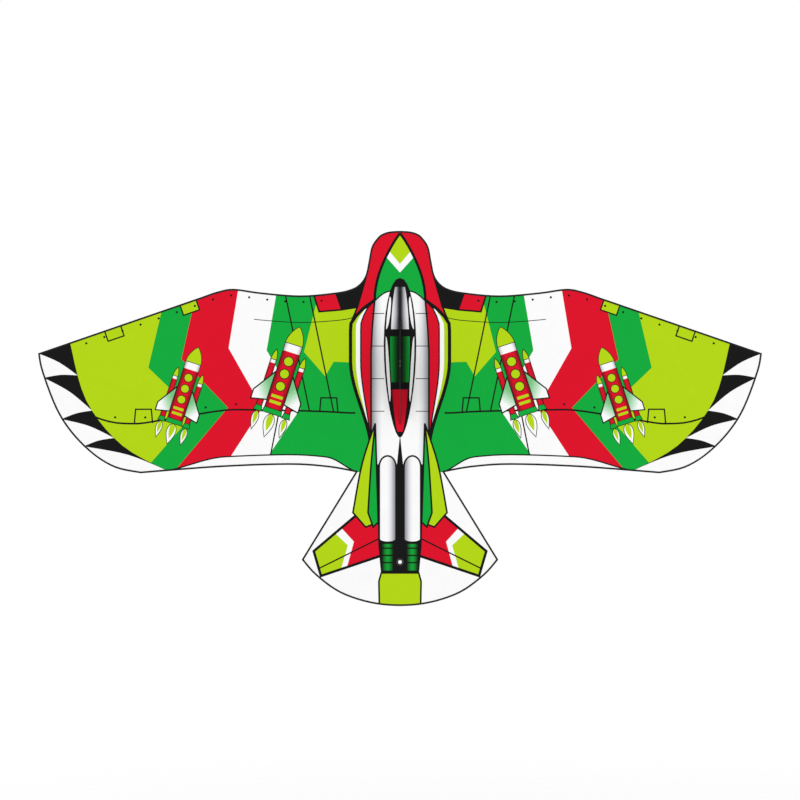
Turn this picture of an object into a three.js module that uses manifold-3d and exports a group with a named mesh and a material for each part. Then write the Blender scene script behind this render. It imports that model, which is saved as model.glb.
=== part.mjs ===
// A bird-outline kite: a flat sail on a folding frame of fibreglass rods, with a cloth keel to tow it by.
// Millimetres. +X is the kite's right as its printed face is seen, +Z points to its nose, and the
// printed face looks along -Y. The origin is the centre of the tow grommet at the keel's outer corner.
import * as THREE from 'three';
import { mergeVertices } from 'three/addons/utils/BufferGeometryUtils.js';
import Module from 'manifold-3d';

const wasm = await Module();
wasm.setup();

// Layers from front to back
const GAP = 0.3; // air left between two separate pieces that lie against each other
const SAIL_FRONT = 70; // the printed face stands this far behind the tow point
const SAIL_THICKNESS = 0.7;
const PATCH_FRONT = SAIL_FRONT + SAIL_THICKNESS + GAP;
const PATCH_THICKNESS = 0.5;
const BINDING_WIDTH = 2.3;
const BINDING_THICKNESS = 1.4;
const ROD_PLANE = 76; // every rod's axis and both fold axes lie in this plane

// Widths of the strips beside the centreline
const CENTRE_HALF_WIDTH = 9.5;
const WING_START = 21;

// Rods and what holds them
const HEAVY_ROD_RADIUS = 2;
const LIGHT_ROD_RADIUS = 1.5;
const BORE_CLEARANCE = 0.3;
const SLEEVE_RADIUS = 4;
const SLEEVE_BORE_RADIUS = 2.6;
const TUBE_RADIUS = 3.5;
const TUBE_END = 34; // how far a vinyl tube reaches from the centreline
const ROD_START = 22; // inner ends of the wing and tail rods
const BARB_END = 14;
const CAP_WALL = 1.9;
const CAP_FLOOR = 2.7;
const CAP_CHAMFER = 1;
const NOCK_NOTCH = { across: 20, width: 1.4, height: 2 };
const ROUND_SIDES = 12;

// Heights of what lies on the spine
const SPINE_TOP = 208;
const SPINE_BOTTOM = -312;
const SPINE_CAP_LENGTH = 16;
const SLEEVE_CLEARANCE = 3;
const LEADING_HUB = { z: 106, height: 16 };
const CENTRE_HUB = { z: 55, height: 20 };
const TAIL_HUB = { z: -215, height: 18 };
const HUB_DEPTH = 10;
const HUB_CORNER = 3;
const STUB_START = 5; // inside the hub's block

// Leading edge fitting that takes the spreader's end
const CONNECTOR_X = 474;
const CONNECTOR_RADIUS = 4;
const CONNECTOR_HALF_LENGTH = 9;
const SOCKET_LENGTH = 30;
const SOCKET_FLOOR = 13;
const SLEEVE_OPENING = { from: 442, to: 485 };
const LEADING_SLEEVE_START = 105;
const LEADING_SLEEVE_END = 578;
const LEADING_ROD_END = 587;
const LEADING_CAP_LENGTH = 12;

// Tail rods, which run from the tail hub to the tail's corners
const TAIL_CORNER = new THREE.Vector2(163, -324);
const TAIL_ROD_ORIGIN = new THREE.Vector2(10, TAIL_HUB.z);
const TAIL_ROD_SHORT = 14; // from the rod's end to the corner of the sail
const TAIL_CAP_LENGTH = 14;
const TAIL_TUBE_START = 12.8;

// Keel and grommets
const KEEL_THICKNESS = 0.8;
const KEEL_TOP = 80;
const KEEL_BOTTOM = -100;
const KEEL_TIP_RADIUS = 10;
const GROMMET = { bore: 3.2, barrel: 3.9, flange: 6, flangeThickness: 0.6, sides: 24 };
const TAIL_EYELET_Z = -328;

// The sail's outline from the nose down the right-hand side. Each list is one smooth stretch, and
// straight lines join the stretches.
const HEAD_AND_SHOULDER = [
  [0, 221], [16, 220], [27, 217], [36, 211], [47, 195], [52, 171], [57, 148], [66, 134], [80, 125],
  [106, 119], [165, 114], [230, 119], [276, 125], [304, 120], [330, 111],
];
const WING_TIP = [
  [600, 18], [594, -12], [571, -73], [545, -114], [510, -149], [472, -172], [430, -181],
];
const TRAILING_EDGE = [[430, -181], [300, -171], [185, -167], [120, -171], [74, -179]];
const TAIL_BOTTOM = [[TAIL_CORNER.x, TAIL_CORNER.y], [140, -350], [100, -379], [50, -396], [0, -401]];
const LEADING_ROD = [
  [ROD_START, 106], [60, 106], [96, 108], [165, 108], [230, 113], [276, 118], [306, 112],
  [380, 87], [600, 12],
];

// Corners of the flat patches
const NOSE_PATCH = [[-9, 180], [9, 180], [9, 210], [6, 216], [-6, 216], [-9, 210]];
const EYELET_PATCH = [[-9, -346], [9, -346], [9, -290], [-9, -290]];
const TIP_PATCH = [[545, 31], [590, 15], [588, -6], [580, -32], [550, -12]];
const TAIL_PATCH = [[138, -293], [158, -323], [137, -347], [118, -333], [121, -300]];

// How finely curves are followed
const STEPS_PER_POINT = 3;
const ROD_STEPS = 40;
const SLEEVE_STEPS = 24;
const TIP_SLEEVE_STEPS = 2;
const CORNER_STEPS = 3;
const KEEL_TIP_STEPS = 10;
const HALVINGS = 30;
const BEYOND = 1000; // farther than the kite reaches in any direction

const kite = new THREE.Group();

function material(color, roughness, metalness = 0) {
  return () => new THREE.MeshStandardMaterial({ color, roughness, metalness });
}

const finishes = {
  printedCloth: material(0x00ab39, 0.7),
  paleCloth: material(0xf2f2f0, 0.7),
  blackCloth: material(0x0b0b0c, 0.75),
  rod: material(0x17181a, 0.35),
  vinyl: material(0x1c1c1e, 0.45),
  nylon: material(0x101012, 0.5),
  enamel: material(0x161618, 0.3, 0.4),
};

function add(name, geometry, finish) {
  const mesh = new THREE.Mesh(geometry, finish());
  mesh.name = name;
  kite.add(mesh);
}

// Solids for joining and cutting

function toSolid(geometry) {
  const bare = geometry.clone();
  bare.deleteAttribute('normal');
  bare.deleteAttribute('uv');
  const merged = mergeVertices(bare);
  const mesh = new wasm.Mesh({
    numProp: 3,
    vertProperties: merged.attributes.position.array,
    triVerts: Uint32Array.from(merged.index.array),
  });
  return new wasm.Manifold(mesh);
}

function toGeometry(solid) {
  const mesh = solid.getMesh();
  const geometry = new THREE.BufferGeometry();
  geometry.setAttribute('position', new THREE.BufferAttribute(mesh.vertProperties, 3));
  geometry.setIndex(new THREE.BufferAttribute(mesh.triVerts, 1));
  geometry.computeVertexNormals();
  return geometry;
}

// Keeps the part of a flat piece between two distances from the centreline, on one side of it
function between(geometry, near, far) {
  const slab = new THREE.BoxGeometry(Math.abs(far - near), BEYOND, 2 * BEYOND);
  slab.translate((near + far) / 2, 0, 0);
  return toGeometry(toSolid(geometry).intersect(toSolid(slab)));
}

// Flat pieces, drawn in the XZ plane and given a thickness towards the back

function smooth(points) {
  const curve = new THREE.SplineCurve(points.map(([x, z]) => new THREE.Vector2(x, z)));
  return curve.getPoints(STEPS_PER_POINT * (points.length - 1));
}

// The tail's stretch is drawn on past the middle and cut there, so that it crosses the middle level
function halfOfTail() {
  const [x, z] = TAIL_BOTTOM[TAIL_BOTTOM.length - 2];
  const drawn = smooth([...TAIL_BOTTOM, [-x, z]]);
  return drawn.slice(0, drawn.length - STEPS_PER_POINT);
}

function rightOutline() {
  return [
    ...smooth(HEAD_AND_SHOULDER),
    ...smooth(WING_TIP),
    ...smooth(TRAILING_EDGE).slice(1),
    ...halfOfTail(),
  ];
}

function mirrored(points) {
  return points.map((point) => new THREE.Vector2(-point.x, point.y));
}

function wholeOutline() {
  const right = rightOutline();
  const left = mirrored(right.slice(1, -1)).reverse();
  return [...right, ...left];
}

// Moves every corner of a closed outline inwards by the same distance from both of its sides
function inset(outline, distance) {
  const count = outline.length;
  return outline.map((point, i) => {
    const before = outline[(i + count - 1) % count];
    const after = outline[(i + 1) % count];
    const sideIn = new THREE.Vector2().subVectors(point, before).normalize();
    const sideOut = new THREE.Vector2().subVectors(after, point).normalize();
    const inward = new THREE.Vector2(sideIn.y + sideOut.y, -sideIn.x - sideOut.x).normalize();
    const stretch = inward.dot(new THREE.Vector2(sideIn.y, -sideIn.x));
    return point.clone().addScaledVector(inward, distance / stretch);
  });
}

function panel(shape, front, thickness) {
  const geometry = new THREE.ExtrudeGeometry(shape, { depth: thickness, bevelEnabled: false });
  geometry.rotateX(Math.PI / 2);
  geometry.translate(0, front + thickness, 0);
  return geometry;
}

function circle(radius, sides = ROUND_SIDES, x = 0, y = 0) {
  const points = [];
  for (let i = 0; i < sides; i += 1) {
    const angle = (2 * Math.PI * i) / sides;
    points.push(new THREE.Vector2(x + radius * Math.cos(angle), y + radius * Math.sin(angle)));
  }
  return points;
}

// Round pieces

// A place at a distance from the centreline on one side, in the plane of the rods
function rodPoint(side, x, z) {
  return new THREE.Vector3(side * x, ROD_PLANE, z);
}

function ringSection(radius, boreRadius) {
  const section = new THREE.Shape(circle(radius));
  if (boreRadius > 0) {
    section.holes.push(new THREE.Path(circle(boreRadius)));
  }
  return section;
}

function sweep(curve, radius, boreRadius, steps) {
  return new THREE.ExtrudeGeometry(ringSection(radius, boreRadius), {
    steps,
    extrudePath: curve,
    bevelEnabled: false,
  });
}

function straight(start, end, radius, boreRadius = 0) {
  return sweep(new THREE.LineCurve3(start, end), radius, boreRadius, 1);
}

// A cap over a rod's end: start is its open mouth, and it reaches length along direction
function capGeometry(start, direction, length, rodRadius) {
  const bore = rodRadius + BORE_CLEARANCE;
  const outer = bore + CAP_WALL;
  const profile = [
    [0, length], [outer - CAP_CHAMFER, length], [outer, length - CAP_CHAMFER], [outer, 0], [bore, 0],
    [bore, length - CAP_FLOOR], [0, length - CAP_FLOOR],
  ];
  const points = profile.map(([radius, height]) => new THREE.Vector2(radius, height)).reverse();
  const geometry = new THREE.LatheGeometry(points, ROUND_SIDES);
  const turn = new THREE.Quaternion().setFromUnitVectors(new THREE.Vector3(0, 1, 0), direction);
  geometry.applyQuaternion(turn);
  geometry.translate(start.x, start.y, start.z);
  return geometry;
}

// Two flanges on a short barrel, with layers of the given thickness between them; its axis is Y
function grommetGeometry(front, layers) {
  const { bore, barrel, flange, flangeThickness, sides } = GROMMET;
  const inner = front - GAP;
  const back = front + layers + GAP;
  const profile = [
    [bore, inner - flangeThickness], [flange, inner - flangeThickness], [flange, inner],
    [barrel, inner], [barrel, back], [flange, back], [flange, back + flangeThickness],
    [bore, back + flangeThickness], [bore, inner - flangeThickness],
  ];
  return new THREE.LatheGeometry(profile.map(([radius, y]) => new THREE.Vector2(radius, y)), sides);
}

class CurvePart extends THREE.Curve {
  constructor(curve, from, to) {
    super();
    this.curve = curve;
    this.from = from;
    this.to = to;
  }

  getPoint(t, target) {
    return this.curve.getPointAt(THREE.MathUtils.lerp(this.from, this.to, t), target);
  }
}

// The stretch of a rod's curve between two distances from the centreline
function stretchBetween(curve, nearX, farX) {
  const fractionAt = (x) => {
    let low = 0;
    let high = 1;
    for (let i = 0; i < HALVINGS; i += 1) {
      const middle = (low + high) / 2;
      if (Math.abs(curve.getPointAt(middle).x) < x) {
        low = middle;
      } else {
        high = middle;
      }
    }
    return low;
  };
  return new CurvePart(curve, fractionAt(nearX), fractionAt(farX));
}

// Sail

function addSail() {
  const outline = wholeOutline();
  const cloth = panel(new THREE.Shape(outline), SAIL_FRONT, SAIL_THICKNESS);
  const insideBinding = inset(outline, BINDING_WIDTH + GAP);
  const wingCloth = panel(new THREE.Shape(insideBinding), SAIL_FRONT, SAIL_THICKNESS);
  const ring = new THREE.Shape(outline);
  ring.holes.push(new THREE.Path(inset(outline, BINDING_WIDTH).reverse()));
  const bindingFront = SAIL_FRONT + (SAIL_THICKNESS - BINDING_THICKNESS) / 2;
  const binding = panel(ring, bindingFront, BINDING_THICKNESS);

  const hole = new THREE.LineCurve3(
    new THREE.Vector3(0, 0, TAIL_EYELET_Z),
    new THREE.Vector3(0, 2 * SAIL_FRONT, TAIL_EYELET_Z),
  );
  const holeSolid = toSolid(sweep(hole, GROMMET.barrel + GAP, 0, 1));
  const centre = between(cloth, -CENTRE_HALF_WIDTH, CENTRE_HALF_WIDTH);
  add('sail_centre_strip', toGeometry(toSolid(centre).subtract(holeSolid)), finishes.blackCloth);

  for (const [name, side] of [['left', -1], ['right', 1]]) {
    const fold = between(cloth, side * (CENTRE_HALF_WIDTH + GAP), side * (WING_START - GAP));
    add(`${name}_fold_strip`, fold, finishes.paleCloth);
    const wing = between(wingCloth, side * WING_START, side * BEYOND);
    add(`${name}_wing_sail`, wing, finishes.printedCloth);
    const edge = between(binding, side * WING_START, side * BEYOND);
    add(`${name}_edge_binding`, edge, finishes.blackCloth);
  }
}

function patchShape(side, corners) {
  return new THREE.Shape(corners.map(([x, z]) => new THREE.Vector2(side * x, z)));
}

function addPatches() {
  add('nose_patch', panel(patchShape(1, NOSE_PATCH), PATCH_FRONT, PATCH_THICKNESS), finishes.blackCloth);

  const tail = patchShape(1, EYELET_PATCH);
  tail.holes.push(new THREE.Path(circle(GROMMET.barrel + GAP, GROMMET.sides, 0, TAIL_EYELET_Z)));
  add('tail_patch', panel(tail, PATCH_FRONT, PATCH_THICKNESS), finishes.blackCloth);

  for (const [name, side] of [['left', -1], ['right', 1]]) {
    const tip = panel(patchShape(side, TIP_PATCH), PATCH_FRONT, PATCH_THICKNESS);
    add(`${name}_tip_patch`, tip, finishes.blackCloth);
    const corner = panel(patchShape(side, TAIL_PATCH), PATCH_FRONT, PATCH_THICKNESS);
    add(`${name}_tail_patch`, corner, finishes.blackCloth);
  }
}

// Keel, in the kite's middle plane, and the two grommets

function addKeel() {
  const base = SAIL_FRONT - GAP;
  const outline = new THREE.Shape();
  const turnTo = (height) => Math.acos(KEEL_TIP_RADIUS / Math.hypot(base, height));
  const tipTop = Math.atan2(KEEL_TOP, base) + turnTo(KEEL_TOP);
  const tipBottom = Math.atan2(KEEL_BOTTOM, base) - turnTo(KEEL_BOTTOM);
  outline.moveTo(base, KEEL_BOTTOM);
  outline.lineTo(base, KEEL_TOP);
  outline.absarc(0, 0, KEEL_TIP_RADIUS, tipTop, tipBottom + 2 * Math.PI, false);
  outline.holes.push(new THREE.Path(circle(GROMMET.barrel + GAP, GROMMET.sides)));
  const keel = new THREE.ExtrudeGeometry(outline, {
    depth: KEEL_THICKNESS,
    bevelEnabled: false,
    curveSegments: KEEL_TIP_STEPS,
  });
  keel.translate(0, 0, -KEEL_THICKNESS / 2);
  // The outline's first direction is the kite's Y and its second is the kite's Z
  keel.rotateX(Math.PI / 2);
  keel.rotateZ(Math.PI / 2);
  add('keel', keel, finishes.blackCloth);

  const tow = grommetGeometry(-KEEL_THICKNESS / 2, KEEL_THICKNESS);
  tow.rotateZ(-Math.PI / 2);
  add('tow_grommet', tow, finishes.enamel);

  const layers = SAIL_THICKNESS + GAP + PATCH_THICKNESS;
  const eyelet = grommetGeometry(SAIL_FRONT, layers);
  eyelet.translate(0, 0, TAIL_EYELET_Z);
  add('tail_eyelet', eyelet, finishes.enamel);
}

// Spine

function addSpine() {
  const onSpine = (z) => new THREE.Vector3(0, ROD_PLANE, z);
  add('spine_rod', straight(onSpine(SPINE_BOTTOM), onSpine(SPINE_TOP), HEAVY_ROD_RADIUS), finishes.rod);

  const capMouth = SPINE_CAP_LENGTH - CAP_FLOOR - GAP;
  const up = new THREE.Vector3(0, 0, 1);
  const down = new THREE.Vector3(0, 0, -1);
  const noseStart = onSpine(SPINE_TOP - capMouth);
  add('nose_cap', capGeometry(noseStart, up, SPINE_CAP_LENGTH, HEAVY_ROD_RADIUS), finishes.vinyl);

  const nockStart = onSpine(SPINE_BOTTOM + capMouth);
  const nock = toSolid(capGeometry(nockStart, down, SPINE_CAP_LENGTH, HEAVY_ROD_RADIUS));
  const notch = new THREE.BoxGeometry(NOCK_NOTCH.across, NOCK_NOTCH.width, NOCK_NOTCH.height);
  notch.translate(0, ROD_PLANE, nockStart.z - SPINE_CAP_LENGTH);
  add('tail_nock', toGeometry(nock.subtract(toSolid(notch))), finishes.vinyl);

  const top = (hub) => hub.z + hub.height / 2 + SLEEVE_CLEARANCE;
  const bottom = (hub) => hub.z - hub.height / 2 - SLEEVE_CLEARANCE;
  const sleeves = {
    nose: [top(LEADING_HUB), noseStart.z - SLEEVE_CLEARANCE],
    middle: [top(TAIL_HUB), bottom(CENTRE_HUB)],
    tail: [nockStart.z + SLEEVE_CLEARANCE, bottom(TAIL_HUB)],
  };
  for (const [name, [low, high]] of Object.entries(sleeves)) {
    const sleeve = straight(onSpine(low), onSpine(high), SLEEVE_RADIUS, SLEEVE_BORE_RADIUS);
    add(`spine_sleeve_${name}`, sleeve, finishes.paleCloth);
  }
}

// Hubs: a moulded block on the spine with a stub on each side that a vinyl tube is pushed over

function roundedRectangle(width, height, corner) {
  const x = width / 2;
  const z = height / 2;
  const shape = new THREE.Shape();
  shape.absarc(x - corner, z - corner, corner, 0, Math.PI / 2);
  shape.absarc(corner - x, z - corner, corner, Math.PI / 2, Math.PI);
  shape.absarc(corner - x, corner - z, corner, Math.PI, 1.5 * Math.PI);
  shape.absarc(x - corner, corner - z, corner, 1.5 * Math.PI, 2 * Math.PI);
  return shape;
}

function hubGeometry(hub, stubRadius, stubDirection) {
  const outline = roundedRectangle(2 * CENTRE_HALF_WIDTH, hub.height, HUB_CORNER);
  const blockShape = new THREE.Shape(outline.getPoints(CORNER_STEPS));
  const block = panel(blockShape, PATCH_FRONT + PATCH_THICKNESS + GAP, HUB_DEPTH);
  block.translate(0, 0, hub.z);
  let solid = toSolid(block);
  for (const side of [-1, 1]) {
    const slope = stubDirection.y / stubDirection.x;
    const heightAt = (x) => hub.z + (x - TAIL_ROD_ORIGIN.x) * slope;
    const start = rodPoint(side, STUB_START, heightAt(STUB_START));
    const end = rodPoint(side, BARB_END, heightAt(BARB_END));
    solid = solid.add(toSolid(straight(start, end, stubRadius)));
  }
  const bore = straight(
    new THREE.Vector3(0, ROD_PLANE, hub.z - hub.height),
    new THREE.Vector3(0, ROD_PLANE, hub.z + hub.height),
    HEAVY_ROD_RADIUS + BORE_CLEARANCE,
  );
  return toGeometry(solid.subtract(toSolid(bore)));
}

const ACROSS = new THREE.Vector2(1, 0);
const TO_TAIL_CORNER = new THREE.Vector2().subVectors(TAIL_CORNER, TAIL_ROD_ORIGIN).normalize();

function addHubs() {
  add('leading_edge_hub', hubGeometry(LEADING_HUB, LIGHT_ROD_RADIUS, ACROSS), finishes.nylon);
  add('centre_hub', hubGeometry(CENTRE_HUB, HEAVY_ROD_RADIUS, ACROSS), finishes.nylon);
  add('tail_hub', hubGeometry(TAIL_HUB, LIGHT_ROD_RADIUS, TO_TAIL_CORNER), finishes.nylon);
}

// Wings

function addTube(name, start, end, rodRadius) {
  add(name, straight(start, end, TUBE_RADIUS, rodRadius + BORE_CLEARANCE), finishes.vinyl);
}

function addLeadingEdge(name, side) {
  const points = LEADING_ROD.map(([x, z]) => rodPoint(side, x, z));
  const whole = new THREE.CatmullRomCurve3(points);
  const curve = stretchBetween(whole, ROD_START, LEADING_ROD_END);
  add(`${name}_leading_edge_rod`, sweep(curve, LIGHT_ROD_RADIUS, 0, ROD_STEPS), finishes.rod);

  const tubeStart = rodPoint(side, CENTRE_HALF_WIDTH + GAP, LEADING_HUB.z);
  const tubeEnd = rodPoint(side, TUBE_END, LEADING_HUB.z);
  addTube(`${name}_leading_edge_tube`, tubeStart, tubeEnd, LIGHT_ROD_RADIUS);

  const inner = stretchBetween(whole, LEADING_SLEEVE_START, SLEEVE_OPENING.from);
  const innerSleeve = sweep(inner, SLEEVE_RADIUS, SLEEVE_BORE_RADIUS, SLEEVE_STEPS);
  add(`${name}_leading_edge_sleeve`, innerSleeve, finishes.blackCloth);
  const outer = stretchBetween(whole, SLEEVE_OPENING.to, LEADING_SLEEVE_END - LEADING_CAP_LENGTH);
  const outerSleeve = sweep(outer, SLEEVE_RADIUS, SLEEVE_BORE_RADIUS, TIP_SLEEVE_STEPS);
  add(`${name}_tip_sleeve`, outerSleeve, finishes.blackCloth);

  const end = curve.getPointAt(1);
  const direction = curve.getTangentAt(1);
  const mouth = LEADING_CAP_LENGTH - CAP_FLOOR - GAP;
  const start = end.clone().addScaledVector(direction, -mouth);
  const cap = capGeometry(start, direction, LEADING_CAP_LENGTH, LIGHT_ROD_RADIUS);
  add(`${name}_tip_cap`, cap, finishes.vinyl);
  return whole;
}

// A moulded fitting: a sleeve that the leading edge rod passes through, with a socket for the spreader
function addSpreader(name, side, leadingCurve) {
  const at = stretchBetween(leadingCurve, ROD_START, CONNECTOR_X).getPointAt(1);
  const along = stretchBetween(leadingCurve, CONNECTOR_X, LEADING_ROD_END).getTangentAt(0);
  const alongRod = (distance) => at.clone().addScaledVector(along, distance);
  const fromRod = (distance) => rodPoint(side, Math.abs(at.x) - distance, at.z);
  const through = straight(
    alongRod(-CONNECTOR_HALF_LENGTH),
    alongRod(CONNECTOR_HALF_LENGTH),
    CONNECTOR_RADIUS,
  );
  const socket = straight(fromRod(0), fromRod(SOCKET_LENGTH), CONNECTOR_RADIUS);
  const reach = 2 * CONNECTOR_HALF_LENGTH;
  const rodBore = straight(alongRod(-reach), alongRod(reach), LIGHT_ROD_RADIUS + BORE_CLEARANCE);
  const socketBore = straight(
    fromRod(SOCKET_FLOOR),
    fromRod(SOCKET_LENGTH + 1),
    HEAVY_ROD_RADIUS + BORE_CLEARANCE,
  );
  const outside = toSolid(through).add(toSolid(socket));
  const fitting = outside.subtract(toSolid(rodBore)).subtract(toSolid(socketBore));
  add(`${name}_spreader_connector`, toGeometry(fitting), finishes.nylon);

  const rod = straight(rodPoint(side, ROD_START, at.z), fromRod(SOCKET_FLOOR + GAP), HEAVY_ROD_RADIUS);
  add(`${name}_spreader_rod`, rod, finishes.rod);
  const tubeStart = rodPoint(side, CENTRE_HALF_WIDTH + GAP, CENTRE_HUB.z);
  const tubeEnd = rodPoint(side, TUBE_END, CENTRE_HUB.z);
  addTube(`${name}_spreader_tube`, tubeStart, tubeEnd, HEAVY_ROD_RADIUS);
}

function addTailRod(name, side) {
  const length = TAIL_ROD_ORIGIN.distanceTo(TAIL_CORNER) - TAIL_ROD_SHORT;
  const pointAt = (distance) => {
    const place = TAIL_ROD_ORIGIN.clone().addScaledVector(TO_TAIL_CORNER, distance);
    return rodPoint(side, place.x, place.y);
  };
  const distanceAtX = (x) => (x - TAIL_ROD_ORIGIN.x) / TO_TAIL_CORNER.x;
  const rod = straight(pointAt(distanceAtX(ROD_START)), pointAt(length), LIGHT_ROD_RADIUS);
  add(`${name}_tail_rod`, rod, finishes.rod);
  const tubeStart = pointAt(distanceAtX(TAIL_TUBE_START));
  addTube(`${name}_tail_tube`, tubeStart, pointAt(distanceAtX(TUBE_END)), LIGHT_ROD_RADIUS);

  const mouth = TAIL_CAP_LENGTH - CAP_FLOOR - GAP;
  const direction = new THREE.Vector3(side * TO_TAIL_CORNER.x, 0, TO_TAIL_CORNER.y);
  const cap = capGeometry(pointAt(length - mouth), direction, TAIL_CAP_LENGTH, LIGHT_ROD_RADIUS);
  add(`${name}_tail_cap`, cap, finishes.vinyl);
}

addSail();
addPatches();
addKeel();
addSpine();
addHubs();
for (const [name, side] of [['left', -1], ['right', 1]]) {
  const leadingCurve = addLeadingEdge(name, side);
  addSpreader(name, side, leadingCurve);
  addTailRod(name, side);
}

export default kite;
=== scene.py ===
"""A bird-outline kite with a jet plane printed on it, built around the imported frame.

Lengths in this script are millimetres in the frame's axes: +X to the kite's right as its printed face is
seen, +Z to the nose, and the printed face looks along -Y. Meshes are scaled to metres when they are made.
"""
import math

import bmesh
import bpy
import numpy as np
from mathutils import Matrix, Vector
from mathutils.geometry import delaunay_2d_cdt


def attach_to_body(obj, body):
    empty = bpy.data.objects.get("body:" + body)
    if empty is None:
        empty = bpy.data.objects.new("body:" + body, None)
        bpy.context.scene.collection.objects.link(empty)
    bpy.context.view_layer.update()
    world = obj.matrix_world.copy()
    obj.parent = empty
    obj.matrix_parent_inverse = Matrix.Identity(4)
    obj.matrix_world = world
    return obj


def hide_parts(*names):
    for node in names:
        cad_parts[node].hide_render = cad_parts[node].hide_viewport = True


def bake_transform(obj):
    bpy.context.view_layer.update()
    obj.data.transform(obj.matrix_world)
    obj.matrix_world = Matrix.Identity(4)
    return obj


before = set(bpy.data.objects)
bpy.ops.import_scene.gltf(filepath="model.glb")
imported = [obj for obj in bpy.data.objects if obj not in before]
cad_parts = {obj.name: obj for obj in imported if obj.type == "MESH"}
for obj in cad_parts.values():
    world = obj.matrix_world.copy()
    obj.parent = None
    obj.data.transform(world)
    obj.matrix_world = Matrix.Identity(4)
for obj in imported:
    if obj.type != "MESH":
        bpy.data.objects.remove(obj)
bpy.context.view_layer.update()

MM = 0.001
FULL_TURN = 2 * math.pi
WINGS = (("left", -1), ("right", 1))

# Layers from front to back
CLOTH_FRONT = 70.2
CLOTH_THICKNESS = 0.3
PATCH_FRONT = 71.0
PATCH_BACK = 71.5
ROD_PLANE = 76
BINDING_WIDTH = 3.0
BINDING_THICKNESS = 1.2

# Rods and fittings
HEAVY_ROD = 2.0
LIGHT_ROD = 1.5
BORE_CLEARANCE = 0.3
TUBE_RADIUS = 3.5
TUBE_START = 9.8
TUBE_END = 34
TAIL_TUBE_START = 12.8
ROD_START = 22
ROD_END = 587
SPINE_TOP = 208
SPINE_BOTTOM = -312
LEADING_HUB_Z = 106
CENTRE_HUB_Z = 55
CONNECTOR_X = 474
SPREADER_END = 460.7
TAIL_ROD_ORIGIN = (10, -215)
TAIL_ROD_SHORT = 14
EYELET_Z = -328
EYELET_BORE = 3.0
EYELET_HOLE = 3.7

# The sail's outline from the nose down one side, as smooth stretches joined by straight lines
TIP = (600, 18)
HEAD_AND_SHOULDER = [
    (0, 221), (16, 220), (27, 217), (36, 211), (47, 195), (52, 171), (57, 148), (66, 134), (80, 125),
    (106, 119), (165, 114), (230, 119), (276, 125), (304, 120), (330, 111),
]
WING_TIP = [TIP, (594, -12), (571, -73), (545, -114), (510, -149), (472, -172), (430, -181)]
TRAILING_EDGE = [(430, -181), (300, -171), (185, -167), (120, -171), (74, -179)]
WING_ROOT = 74
TAIL_CORNER = (163, -324)
TAIL_BOTTOM = [TAIL_CORNER, (140, -350), (100, -379), (50, -396), (0, -401)]
LEADING_ROD = [
    (ROD_START, LEADING_HUB_Z), (60, 106), (96, 108), (165, 108), (230, 113), (276, 118), (306, 112),
    (380, 87), (600, 12),
]

# Print colours, as red, green and blue from 0 to 255
LIME = (180, 215, 6)
GREEN = (0, 170, 58)
RED = (221, 0, 36)
BLACK = (8, 8, 9)
WHITE = (252, 252, 252)
PALE = (226, 227, 231)
ASH = (170, 170, 174)
STEEL = (120, 120, 124)
DARK = (48, 48, 50)
CRIMSON = (120, 0, 18)
LEAF = (6, 122, 34)
DEEP = (2, 52, 14)
MEADOW = (118, 196, 130)

# Widths of printed lines, and a rivet's radius
HAIR = 1.3
FINE = 2.3
MEDIUM = 2.9
BROAD = 4.4
HEAVY = 5.6
RIVET = 1.9


# -------- shapes in the plane

def curve(*points, steps=5):
    """A smooth line through the points."""
    ends = [points[0], *points, points[-1]]
    line = []
    for a, b, c, d in zip(ends, ends[1:], ends[2:], ends[3:]):
        line += [spline_point(a, b, c, d, k / steps) for k in range(steps)]
    return [*line, points[-1]]


def spline_point(a, b, c, d, t):
    """A point between b and c of the smooth line through a, b, c and d."""
    place = []
    square = t * t
    for p, q, r, s in zip(a, b, c, d):
        into = (r - p) / 2
        out = (s - q) / 2
        value = (2 * q - 2 * r + into + out) * (square * t)
        place.append(value + ((-3 * q + 3 * r - 2 * into - out) * square + into * t + q))
    return tuple(place)


def between(a, b, t):
    return (a[0] + (b[0] - a[0]) * t, a[1] + (b[1] - a[1]) * t)


def spaced(points, gap):
    """The same line with a point about every gap millimetres and at every corner."""
    line = [points[0]]
    for a, b in zip(points, points[1:]):
        count = max(1, round(math.dist(a, b) / gap))
        line += [between(a, b, k / count) for k in range(1, count + 1)]
    return line


def circle(centre, radius, sides=16):
    angles = [FULL_TURN * i / sides for i in range(sides)]
    return [(centre[0] + radius * math.cos(a), centre[1] + radius * math.sin(a)) for a in angles]


def loop(points):
    """The sides of a closed outline, each as its two ends."""
    return zip(points, points[1:] + points[:1])


def signed_area(points):
    return sum(x1 * z2 - x2 * z1 for (x1, z1), (x2, z2) in loop(points)) / 2


def covered(outline, spots):
    """Which of the spots lie inside a closed outline, even where the outline crosses itself."""
    turns = np.zeros(len(spots), int)
    x, z = spots[:, 0], spots[:, 1]
    for (x1, z1), (x2, z2) in loop(outline):
        left = (x2 - x1) * (z - z1) - (x - x1) * (z2 - z1)
        turns += (z1 <= z) & (z2 > z) & (left > 0)
        turns -= (z1 > z) & (z2 <= z) & (left < 0)
    return turns != 0


def grid_points(outline, gap):
    """The spots of a square grid that lie inside an outline."""
    low = np.min(outline, axis=0)
    counts = ((np.max(outline, axis=0) - low) / gap).astype(int) + 1
    steps = np.array([(i + 0.5, k + 0.5) for i in range(counts[0]) for k in range(counts[1])])
    spots = low + steps * gap
    return [tuple(spot) for spot in spots[covered(outline, spots)]]


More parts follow.
